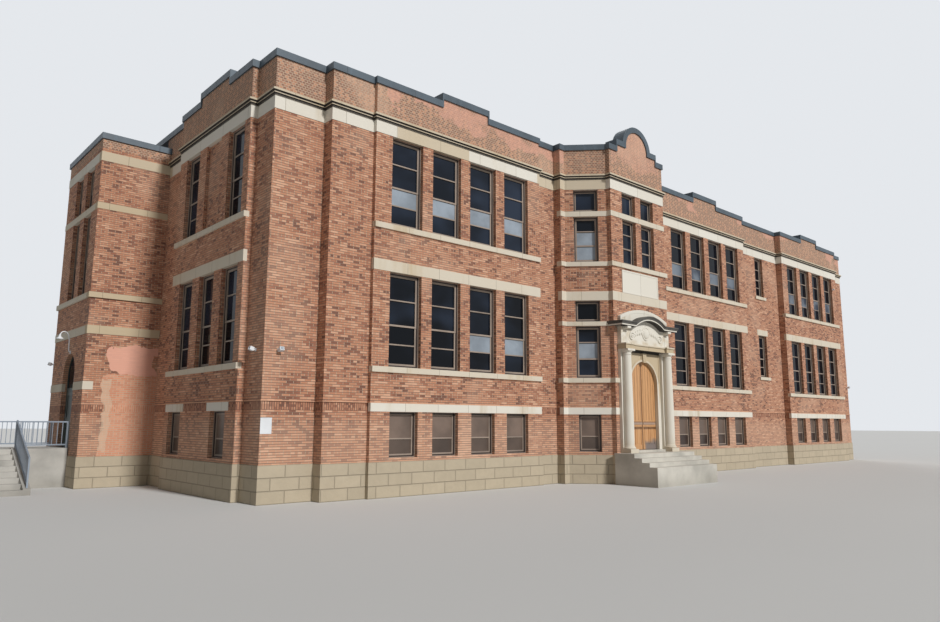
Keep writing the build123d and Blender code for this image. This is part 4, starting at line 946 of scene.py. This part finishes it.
def lattice(name, material, width, height, border, bar, levels, depth):
    """Bars round the lights of a window: a sheet inset, split, inset again, emptied and thickened."""
    piece = upright_sheet(name, material, width, height)
    with Editing(piece) as edit:
        edit.everything()
        bpy.ops.mesh.inset(thickness=border - bar / 2 if levels else border)
        if levels:
            for level in levels:
                bpy.ops.mesh.bisect(plane_co=(0, 0, level), plane_no=(0, 0, 1))
                edit.pick(lambda middle, normal: abs(middle.x) < width * 0.1
                          and border < middle.z < height - border)
            bpy.ops.mesh.inset(thickness=bar / 2, use_individual=True)
        bpy.ops.mesh.delete(type="FACE")
    modify(piece, "SOLIDIFY", thickness=depth, offset=-1)
    modify(piece, "BEVEL", width=0.0015, segments=1, limit_method="ANGLE")
    return piece


def sheet_panel(material, width, height, s):
    """A thin panel for one light, with a raised rim."""
    piece = upright_sheet("light", material, width, height)
    with Editing(piece) as edit:
        edit.everything()
        bpy.ops.mesh.inset(thickness=s.light_rim)
        bpy.ops.transform.translate(value=(0, s.light_depth / 3, 0))
    modify(piece, "SOLIDIFY", thickness=s.light_depth, offset=-1)
    return piece


class Joinery:
    """Makes each size of sash, bead or light once, and copies it into its openings."""

    def __init__(self):
        self.patterns = {}
        self.placed = {}

    def add(self, group, key, maker, place):
        if key not in self.patterns:
            self.patterns[key] = maker()
        self.placed.setdefault(group, []).append(copied(self.patterns[key], place))

    def close(self):
        """Joins what was placed into one piece a group, and drops the patterns."""
        for group, copies in self.placed.items():
            finish_piece(joined(group, copies))
        for pattern in self.patterns.values():
            discard(pattern)


def window_lights(pane, storey, s):
    """How a pane is divided: whether it has two sashes, and its bars as shares from the top."""
    if storey == "basement":
        return "hopper", (BASEMENT_BAR,)
    if pane.height < LOW_WINDOW:
        return "fixed", ()
    if in_entrance(pane):
        return "hung", (ENTRANCE_UPPER_BAR, s.low_meeting)
    return "hung", (UPPER_BAR, s.meeting, LOWER_BAR)


def in_entrance(pane):
    """Whether a pane stands in the canted entrance bay."""
    return pane.foot.y < ENTRANCE_FACE


class SCHOOL_OT_windows(bpy.types.Operator):
    """Sashes, bars, beads and pale lights in front of the panes"""
    bl_idname = "school.windows"
    bl_label = "Windows"

    def execute(self, context):
        s = context.scene.school_window
        self.sash_paint = paint("sash_paint", s.sash_colour, 0.5)
        frame_paint = paint("window_frame_paint", s.frame_colour, 0.4)
        self.pale = frosted_finish("pale_light", s.blind_colour, s.glass_sky)
        self.tan = frosted_finish("tan_light", s.board_colour, scaled(s.board_colour, 0.6))
        self.brown = frosted_finish("brown_light", scaled(s.board_colour, 0.55), s.frame_colour)
        glass = glass_finish()
        joinery = Joinery()
        for storey in ("basement", "first_storey", "second_storey"):
            dress(glass, f"{storey}_glass")
            dress(frame_paint, f"{storey}_window_frames")
            for pane in panes(f"{storey}_glass"):
                self.fit(joinery, storey, pane, s)
        joinery.close()
        return {"FINISHED"}

    def fit(self, joinery, storey, pane, s):
        """Everything in one window: the bead round its frame, its sashes and its pale lights."""
        size = (round(pane.width, 3), round(pane.height, 3))
        width, height = pane.width + 2 * s.rim, pane.height + 2 * s.rim
        joinery.add(f"{storey}_beads", ("bead", size), lambda: lattice(
            "bead", self.sash_paint, width, height, s.bead, s.bar, (), s.bead),
            pane_place(pane, -s.rim, s.rim_front + s.bead))
        kind, shares = window_lights(pane, storey, s)
        if kind == "hung":
            self.add_hung(joinery, f"{storey}_sashes", pane, size, shares, s)
            for top, low in self.pale_lights(pane, storey, shares):
                self.add_pale(joinery, f"{storey}_pale_lights", pane, size, top, low, s)
            return
        levels = [pane.height * (1 - share) for share in shares]
        joinery.add(f"{storey}_sashes", ("fixed", size), lambda: lattice(
            "sash", self.sash_paint, pane.width, pane.height, s.stile * 0.8, s.bar, levels, s.lower_depth),
            pane_place(pane, 0, s.lower_depth + s.gap))
        if kind == "hopper":
            self.add_boards(joinery, f"{storey}_pale_lights", pane, size, levels[0], s)

    def add_pale(self, joinery, group, pane, size, top, low, s):
        """A frosted light between two shares from the top."""
        top = pane.height * (1 - top) - s.stile * 0.6
        low = pane.height * (1 - low) + s.bar * 0.4
        joinery.add(group, ("light", size, round(top, 3)),
                    lambda: sheet_panel(self.pale, pane.width - 1.5 * s.stile, top - low, s),
                    pane_place(pane, low, s.light_depth + s.gap))

    def add_boards(self, joinery, group, pane, size, cut, s):
        """Tan and brown lights over and under a basement window's bar."""
        width = pane.width - s.stile
        for key, finish, height, foot in (("board", self.tan, pane.height - cut - s.stile, cut + s.bar / 2),
                                          ("low board", self.brown, cut - s.stile, s.stile / 2)):
            joinery.add(group, (key, size), lambda: sheet_panel(finish, width, height, s),
                        pane_place(pane, foot, s.light_depth + s.gap))

    def pale_lights(self, pane, storey, shares):
        """Which lights of a hung window are frosted, as pairs of shares from the top."""
        upstairs = storey == "second_storey"
        square_on = abs(pane.inward.y) > SQUARE_ON
        if in_entrance(pane):
            if square_on:
                return []
            return [shares, (shares[1], LOWEST_PALE)] if upstairs else [shares]
        last_two = storey == "first_storey" and -4.0 < pane.foot.x < -2.0 and pane.foot.y < 1.0
        wide = square_on and pane.width > WIDE_WINDOW
        return [shares[1:]] if wide and (upstairs or last_two) else []

    def add_hung(self, joinery, group, pane, size, shares, s):
        """An upper sash standing before a lower one, lapped at the meeting rail."""
        lap = s.stile / 2
        upper = pane.height * shares[1] + lap
        lower = pane.height - pane.height * shares[1] + lap
        upper_bar = upper - pane.height * shares[0]
        lower_bars = [pane.height * (1 - share) for share in shares[2:]]
        joinery.add(group, ("upper", size), lambda: lattice(
            "sash", self.sash_paint, pane.width, upper, s.stile, s.bar, (upper_bar,), s.upper_depth),
            pane_place(pane, pane.height - upper, s.upper_depth + s.gap))
        joinery.add(group, ("lower", size), lambda: lattice(
            "sash", self.sash_paint, pane.width, lower, s.stile, s.bar, lower_bars, s.lower_depth),
            pane_place(pane, 0, s.lower_depth + s.gap))


# Masonry

BRICK_NODES = [name for name in NODES
               if name.endswith(("_wall", "_pier", "_wall_left", "_wall_right", "belt_course"))
               or "_jamb" in name]


class SCHOOL_OT_brickwork(bpy.types.Operator):
    """Brick finish on every wall"""
    bl_idname = "school.brickwork"
    bl_label = "Brickwork"

    def execute(self, context):
        dress(brick_finish(), *BRICK_NODES)
        return {"FINISHED"}


class SCHOOL_OT_stonework(bpy.types.Operator):
    """Limestone courses, the portal with its carving, and the bare name plaque"""
    bl_idname = "school.stonework"
    bl_label = "Stonework"

    def execute(self, context):
        s = context.scene.school_stone
        course = limestone_finish("limestone_courses", s.block, tan=course_tan)
        clean = limestone_finish("limestone_carved", s.block * 1.4, stain=0.15)
        portal = limestone_finish("limestone_portal", s.block * 3, stain=0.45, wet_foot=0.5)
        dress(course, "sill_bands", "transom_bands", "lintel_bands")
        dress(limestone_finish("limestone_frieze", s.block * 1.4, stain=0.25, tan=frieze_tan), "frieze")
        dress(clean, "name_plaque")
        dress(limestone_finish("limestone_cornice", s.block, tan=cornice_tan, soot_and_shade=cornice_shade), "cornice")
        dress(portal, "portal_columns")
        dress(concrete_finish("portal_steps", scaled(s.pale, 0.84)), "front_steps")
        dress(limestone_finish("limestone_panel", s.block, tan=panel_tan, soot_and_shade=panel_shade), "portal_panel")
        hood = limestone_finish("limestone_hood", s.block, stain=0.2, tan=hood_tan, soot_and_shade=hood_soot_and_shade)
        dress(hood, "portal_hood")
        dress(foundation_finish(), "foundation")
        self.carve(clean, s)
        self.frame_plaque(clean)
        self.mould_hood(clean, limestone_finish("limestone_crusted", s.block, soot_and_shade=crust), s)
        return {"FINISHED"}

    def mould_hood(self, clean, crusted, s):
        """The hood's upper mouldings, which turn the entrance's corners, its cap, and two brackets."""
        # The white line's undersides take painted shade
        line = limestone_finish("limestone_line", s.block, stain=0.15, soot_and_shade=Finish.underside)
        for name, material, low, high, lap, reach in (
                ("portal_hood_line", line, 2.799, 2.826, 0.028, 0.200),
                ("portal_hood_cyma", crusted, 2.826, 2.856, 0.041, 0.213),
                ("portal_hood_fillet", crusted, 2.856, 2.882, 0.053, 0.226)):
            finish_piece(self.hood_course(name, material, low, high, lap, reach, s))
        low, high, reach = 2.925, 2.986, 0.066
        cap = self.arched_bar(clean, s.cap_width / 2, low, high, reach, s.cap_width, s.cap_rise)
        cap.name = "portal_hood_cap"
        finish_piece(cap)
        out, half = 0.645, 0.055
        brackets = [block("bracket", clean, (side * out - half, PORTAL_FACE - 0.186, 2.752),
                          (side * out + half, PORTAL_FACE - 0.070, 2.792), 0.006) for side in (-1, 1)]
        finish_piece(joined("portal_hood_brackets", brackets))

    def hood_course(self, name, material, low, high, lap, reach, s):
        """One moulding, with a return at each end."""
        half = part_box("portal_hood")[1].x
        bar = self.arched_bar(material, half + lap, low, high, reach, s.hood_arch, s.hood_rise)
        back = PORTAL_FACE + s.hood_return + lap
        returns = [block("return", material, (side * (half + lap / 2) - lap / 2, PORTAL_FACE - 0.001, low),
                         (side * (half + lap / 2) + lap / 2, back, high)) for side in (-1, 1)]
        return joined(name, [bar, *returns])

    def arched_bar(self, material, half, low, high, reach, arch, rise):
        """A bar cut along its length and lifted in an arch."""
        bar = block("bar", material, (-half, PORTAL_FACE - reach, low), (half, PORTAL_FACE, high), 0)
        with Editing(bar, "EDGE") as edit:
            edit.pick_edges(lambda start, end: abs(start.x - end.x) > half)
            bpy.ops.mesh.subdivide(number_cuts=60)
            mesh = bmesh.from_edit_mesh(bar.data)
            for vertex in mesh.verts:
                vertex.co.z += self.arch_height(vertex.co.x, arch, rise)
            bmesh.update_edit_mesh(bar.data)
        modify(bar, "BEVEL", width=0.004, segments=2, limit_method="ANGLE")
        return bar

    def arch_height(self, x, width, rise):
        """How high a segmental arch stands over its springing at x."""
        half = width / 2
        radius = (half ** 2 + rise ** 2) / (2 * rise)
        return math.sqrt(radius ** 2 - x ** 2) - (radius - rise) if abs(x) < half else 0.0

    def carve(self, material, s):
        """A plain cartouche in a garland of leaves that ends in volutes, in the arch over the door."""
        radius = s.carving_radius
        middle = Vector((0.0, TYMPANUM_FACE, s.carving_height))
        pieces = [self.cartouche(material, middle, radius)]
        arc_x, arc_z = radius * 4.5, radius * 1.7
        for side in (-1, 1):
            for number in range(6):
                angle = math.radians(16 + 10.5 * number)
                place = middle + Vector((side * arc_x * math.sin(angle), 0, arc_z * (math.cos(angle) - 1.0)))
                size = radius * (0.74 - 0.05 * number)
                lean = math.degrees(angle) * 0.55
                pieces.append(self.leaf(material, place, size, side * (lean - 34)))
                pieces.append(self.leaf(material, place, size, side * (lean + 30)))
            end = middle + Vector((side * radius * 4.65, -0.006, -radius * 0.85))
            pieces.append(self.volute(material, end, radius * 0.86, side))
        finish_piece(joined("portal_carving", pieces))

    def cartouche(self, material, middle, radius):
        """An oval boss with a thick rim, pinched in at its waist."""
        deselect()
        bpy.ops.mesh.primitive_uv_sphere_add(segments=32, ring_count=16, radius=radius, location=(0, 0, 0))
        boss = named("boss", material)
        boss.scale = (0.95, 0.42, 1.05)
        settle(boss)
        bpy.ops.mesh.primitive_torus_add(major_radius=radius, minor_radius=radius * 0.15,
                                         major_segments=40, minor_segments=10, rotation=(math.pi / 2, 0, 0))
        rim = named("rim", material)
        settle(rim)
        rim.scale = (1.12, 1.2, 1.22)
        settle(rim)
        shield = joined("cartouche", [boss, rim])
        shield.location = middle
        settle(shield)
        return shield

    def volute(self, material, middle, radius, side):
        """A scroll that winds into its end."""
        points = []
        turns = 22
        for number in range(turns + 1):
            share = number / turns
            angle = math.radians(150 - 500 * share)
            reach = radius * (1.0 - 0.78 * share)
            points.append(middle + Vector((side * reach * math.cos(angle), 0, reach * math.sin(angle))))
        return pipe("volute", material, points, radius * 0.20)

    def leaf(self, material, place, size, lean):
        """One fleshy leaf that leans outwards."""
        deselect()
        bpy.ops.mesh.primitive_uv_sphere_add(segments=16, ring_count=10, radius=size)
        leaf = named("leaf", material)
        with Editing(leaf) as edit:
            edit.everything()
            bpy.ops.transform.resize(value=(0.42, 0.34, 1.0), center_override=(0, 0, 0))
            bpy.ops.transform.translate(value=(0, 0, size * 0.55))
            bpy.ops.transform.rotate(value=math.radians(-lean), orient_axis="Y", center_override=(0, 0, 0))
        leaf.location = place
        settle(leaf)
        return leaf

    def frame_plaque(self, material):
        """A raised border round the plaque, whose field is left bare."""
        low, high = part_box("name_plaque")
        border, proud = 0.028, 0.006
        rim = lattice("name_plaque_border", material, high.x - low.x, high.z - low.z, border, 0.0, (), proud)
        rim.location = ((low.x + high.x) / 2, low.y - proud, low.z)
        settle(rim)
        finish_piece(rim)


# Roof, doors and fittings


class SCHOOL_OT_roof(bpy.types.Operator):
    """Coping, flat roofs and floors"""
    bl_idname = "school.roof"
    bl_label = "Roof and floors"

    def execute(self, context):
        fitting = context.scene.school_fitting
        dress(coping_finish(), "coping")
        dress(felt_finish(), "roof", "tower_roof")
        slab = concrete_finish("floor_slab", scaled(fitting.concrete, 0.6))
        dress(slab, "basement_floor", "first_floor", "second_floor", "entrance_hall_floor", "tower_floor")
        return {"FINISHED"}


class SCHOOL_OT_front_doors(bpy.types.Operator):
    """Oak leaves with a strip over their meeting, in their frame"""
    bl_idname = "school.front_doors"
    bl_label = "Front doors"

    def execute(self, context):
        dress(oak_finish("oak_left"), "front_door_left")
        dress(oak_finish("oak_right", 1.0), "front_door_right")
        # The frame takes painted shade all over
        dress(oak_finish("oak_frame", painted_shade=0.45), "front_door_frame")
        dress(paint("hinge_steel", tint(120, 120, 122), 0.35, 0.9), "door_hinges")
        self.add_astragal()
        return {"FINISHED"}

    def add_astragal(self):
        """The half-round strip that covers the meeting of the leaves."""
        low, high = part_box("front_door_right")
        front = LEAF_FACE - 0.009
        strip = block("front_door_astragal", oak_finish("oak_strip"), (0.004, front, low.z + 0.01),
                      (0.019, LEAF_FACE, high.z - 0.06), 0)
        with Editing(strip, "EDGE") as edit:
            edit.pick_edges(lambda start, end: abs(start.z - end.z) > 0.1 and start.y < front + 0.004)
            bpy.ops.mesh.bevel(offset=0.006, segments=4)
        finish_piece(strip, "front_door_right")


class SCHOOL_OT_side_entrance(bpy.types.Operator):
    """Side door with its lever and lamp, the landing, steps and railings"""
    bl_idname = "school.side_entrance"
    bl_label = "Side entrance"

    def execute(self, context):
        doors = context.scene.school_door
        s = context.scene.school_fitting
        door_paint = paint("door_paint", doors.side_door, 0.4)
        dress(door_paint, "tower_door", "tower_door_frame")
        dress(paint("railing_paint", s.railing, 0.4, 0.1), "tower_railings")
        dress(concrete_finish("concrete", s.concrete), "tower_landing", "tower_steps", "tower_step_curbs")
        self.add_lever(paint("lever_steel", tint(150, 150, 152), 0.35, 0.9))
        self.add_gooseneck(paint("lamp_paint", s.white, 0.4))
        return {"FINISHED"}

    def add_lever(self, material):
        """A lever that turns back over the leaf, on its plate beside the leaf's free edge."""
        low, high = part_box("tower_door")
        middle = Vector((low.x, high.y - 0.035, 1.13))
        plate = block("plate", material, middle - Vector((0.003, 0.012, 0.06)),
                      middle + Vector((0, 0.012, 0.06)), 0.002)
        steps = ((0, 0), (0.015, 0), (0.028, 0), (0.03, 0.02), (0.03, 0.07))
        bow = pipe("bow", material, [middle - Vector((out, back, 0)) for out, back in steps], 0.005)
        finish_piece(joined("tower_door_lever", [plate, bow]), "tower_door")

    def add_gooseneck(self, material):
        """A pipe that climbs from the arch, bows outwards and carries a shade."""
        low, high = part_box("tower_door_frame")
        foot = Vector((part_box("tower_side_wall")[0].x, (low.y + high.y) / 2, high.z + 0.02))
        reach = 0.185
        steps = ((0, 0), (0.03, 0), (0.035, 0.10), (0.035, 0.26), (0.09, 0.36), (0.17, 0.34), (reach, 0.29))
        neck = pipe("neck", material, [foot + Vector((-out, 0, up)) for out, up in steps], 0.009)
        bpy.ops.mesh.primitive_cylinder_add(vertices=24, radius=0.018, depth=0.03,
                                            location=foot + Vector((-reach, 0, 0.28)))
        shade = named("shade", material)
        settle(shade)
        with Editing(shade) as edit:
            edit.pick(lambda middle, normal: normal.z < -0.9)
            bpy.ops.mesh.extrude_region_move(TRANSFORM_OT_translate={"value": (0, 0, -0.045)})
            bpy.ops.transform.resize(value=(3.2, 3.2, 1), center_override=foot + Vector((-reach, 0, 0.265)))
            bpy.ops.mesh.inset(thickness=0.004)
            bpy.ops.mesh.extrude_region_move(TRANSFORM_OT_translate={"value": (0, 0, 0.02)})
        rose = block("rose", material, foot - Vector((0.008, 0.03, 0.03)), foot + Vector((0, 0.03, 0.03)))
        finish_piece(joined("tower_door_lamp", [neck, shade, rose]))


class SCHOOL_OT_wall_lamps(bpy.types.Operator):
    """White wall lamps and a bare sign plate"""
    bl_idname = "school.wall_lamps"
    bl_label = "Wall lamps"

    def execute(self, context):
        s = context.scene.school_fitting
        white = paint("fitting_white", s.white, 0.35, mottle=0.05)
        lens = paint("lamp_lens", tint(170, 178, 186), 0.15)
        pier_side, pier_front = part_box("left_corner_pier")[0].x, 0.27
        tower_low, tower_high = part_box("tower_rear_wall")
        left, front = Vector((-1, 0, 0)), Vector((0, -1, 0))
        for name, place, out, share in (
                ("pier_side_lamp", (pier_side, 0.50, 2.015), left, 1.0),
                ("pier_front_lamp", (-6.877, pier_front, 2.007), front, 1.0),
                ("end_pier_lamp", (11.95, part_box("right_corner_pier")[0].y, 2.144), front, 1.0),
                ("pavilion_camera", (10.993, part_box("pavilion_wall")[0].y, 5.044), front, 0.7),
                ("tower_corner_lamp", (tower_low.x, tower_high.y - 0.04, 2.08), left, 1.0)):
            lamp = self.lamp(name, white, lens, place, out, s.lamp_size * share)
            finish_piece(lamp)
        plate = block("sign_plate", white, (pier_side, pier_front - 0.006, 0.901),
                      (pier_side + 0.162, pier_front, 1.112), 0.0015)
        with Editing(plate) as edit:
            edit.pick(lambda middle, normal: normal.y < -0.9)
            bpy.ops.mesh.inset(thickness=0.008)
            bpy.ops.transform.translate(value=(0, 0.0015, 0))
        finish_piece(plate)
        return {"FINISHED"}

    def lamp(self, name, white, lens, place, out, size):
        """A box on a short arm, tipped down, with its lens recessed; its measures are shares of its size."""
        half = size / 2
        body = block("body", white, (-half, -size * 0.9, -half * 0.8), (half, 0, half * 0.8), size * 0.08)
        body.data.materials.append(lens)
        with Editing(body) as edit:
            edit.pick(lambda middle, normal: normal.y < -0.9)
            bpy.ops.mesh.inset(thickness=size * 0.1)
            bpy.ops.mesh.extrude_region_move(TRANSFORM_OT_translate={"value": (0, size * 0.08, 0)})
            body.active_material_index = 1
            bpy.ops.object.material_slot_assign()
            edit.everything()
            bpy.ops.transform.rotate(value=math.radians(18), orient_axis="X", center_override=(0, 0, 0))
            bpy.ops.transform.translate(value=(0, -size * 0.55, 0))
        parts = [body]
        for part, share, length in (("arm", 0.25, 0.8), ("base", 0.7, 0.12)):
            edge = half * share
            parts.append(block(part, white, (-edge, -size * length, -edge), (edge, 0, edge), 0.002))
        lamp = joined(name, parts)
        lamp.matrix_world = Matrix.Translation(place) @ out.to_track_quat("-Y", "Z").to_matrix().to_4x4()
        settle(lamp)
        return lamp


# Stage, panel and registering


class SCHOOL_OT_stage(bpy.types.Operator):
    """Camera, pale floor, soft lamp and sky"""
    bl_idname = "school.stage"
    bl_label = "Stage"

    def execute(self, context):
        s = context.scene.school_stage
        scene = context.scene
        scene.view_settings.view_transform = "Standard"
        self.add_camera(scene, s)
        self.add_floor(s)
        self.add_lamp("soft_lamp", Vector((0.05, -0.85, 0.55)), s.sun_level, spread=6)
        self.add_lamp("fill_lamp", Vector((0.60, 0.75, 0.45)), s.fill_level, spread=40)
        self.add_sky(scene, s)
        return {"FINISHED"}

    def add_camera(self, scene, s):
        deselect()
        bpy.ops.object.camera_add()
        camera = bpy.context.object
        camera.name = "camera"
        turn = (Matrix.Rotation(math.radians(s.camera_turn), 4, "Z")
                @ Matrix.Rotation(math.radians(90 + s.camera_tilt), 4, "X")
                @ Matrix.Rotation(math.radians(s.camera_roll), 4, "Z"))
        camera.matrix_world = Matrix.Translation(s.camera_place) @ turn
        camera.data.lens = s.lens
        camera.data.sensor_width = 36.0
        camera.data.sensor_fit = "HORIZONTAL"
        camera.data.clip_start = 0.05
        camera.data.clip_end = 500.0
        scene.camera = camera

    def add_floor(self, s):
        deselect()
        bpy.ops.mesh.primitive_plane_add(size=s.floor_size, location=(0, 0, 0))
        f = Finish("floor_pale", roughness=0.9)
        f.set(base_color=f.mix(f.noise(0.2, 2.0), s.floor_colour, scaled(s.floor_colour, 0.97)))
        named("floor", f.material)

    def add_lamp(self, name, to_lamp, level, spread):
        """A soft lamp, given by the direction it stands in and its spread in degrees."""
        deselect()
        bpy.ops.object.light_add(type="SUN", location=to_lamp * 30)
        lamp = bpy.context.object
        lamp.name = name
        lamp.rotation_euler = to_lamp.to_track_quat("Z", "Y").to_euler()
        lamp.data.energy = level
        lamp.data.angle = math.radians(spread)

    def add_sky(self, scene, s):
        """An even pale sky, shown a little brighter to the camera and in gloss than it lights."""
        world = bpy.data.worlds.new("pale_sky")
        world.use_nodes = True
        scene.world = world
        sky = Nodes(world.node_tree)
        camera, gloss, clear = [sky.node("ShaderNodeLightPath", output=f"Is {kind} Ray")
                                for kind in ("Camera", "Glossy", "Transmission")]
        background = sky.tree.nodes["Background"]
        sky.feed(background.inputs["Color"], s.sky_colour)
        sky.feed(background.inputs["Strength"], sky.node("ShaderNodeMapRange", None, {
            "Value": camera | gloss | clear, "To Min": s.sky_level, "To Max": s.sky_shown}))


class SCHOOL_PT_panel(bpy.types.Panel):
    """Lists what can be made"""
    bl_label = "Brick school"
    bl_idname = "SCHOOL_PT_panel"
    bl_space_type = "VIEW_3D"
    bl_region_type = "UI"
    bl_category = "School"

    def draw(self, context):
        for step in STEPS:
            self.layout.operator(step.bl_idname)
        for name, group in SETTINGS.items():
            box = self.layout.box()
            box.label(text=group.__name__)
            for prop in group.__annotations__:
                box.prop(getattr(context.scene, name), prop)


STEPS = (
    SCHOOL_OT_stage,
    SCHOOL_OT_brickwork,
    SCHOOL_OT_stonework,
    SCHOOL_OT_roof,
    SCHOOL_OT_windows,
    SCHOOL_OT_front_doors,
    SCHOOL_OT_side_entrance,
    SCHOOL_OT_wall_lamps,
)
CLASSES = (*SETTINGS.values(), *STEPS, SCHOOL_PT_panel)


def register():
    for one in CLASSES:
        bpy.utils.register_class(one)
    for name, group in SETTINGS.items():
        setattr(bpy.types.Scene, name, PointerProperty(type=group))


def unregister():
    for name in SETTINGS:
        delattr(bpy.types.Scene, name)
    for one in reversed(CLASSES):
        bpy.utils.unregister_class(one)


def main():
    register()
    bpy.ops.school.stage()
    bpy.ops.school.brickwork()
    bpy.ops.school.stonework()
    bpy.ops.school.roof()
    bpy.ops.school.windows()
    bpy.ops.school.front_doors()
    bpy.ops.school.side_entrance()
    bpy.ops.school.wall_lamps()


if __name__ == "__main__":
    main()
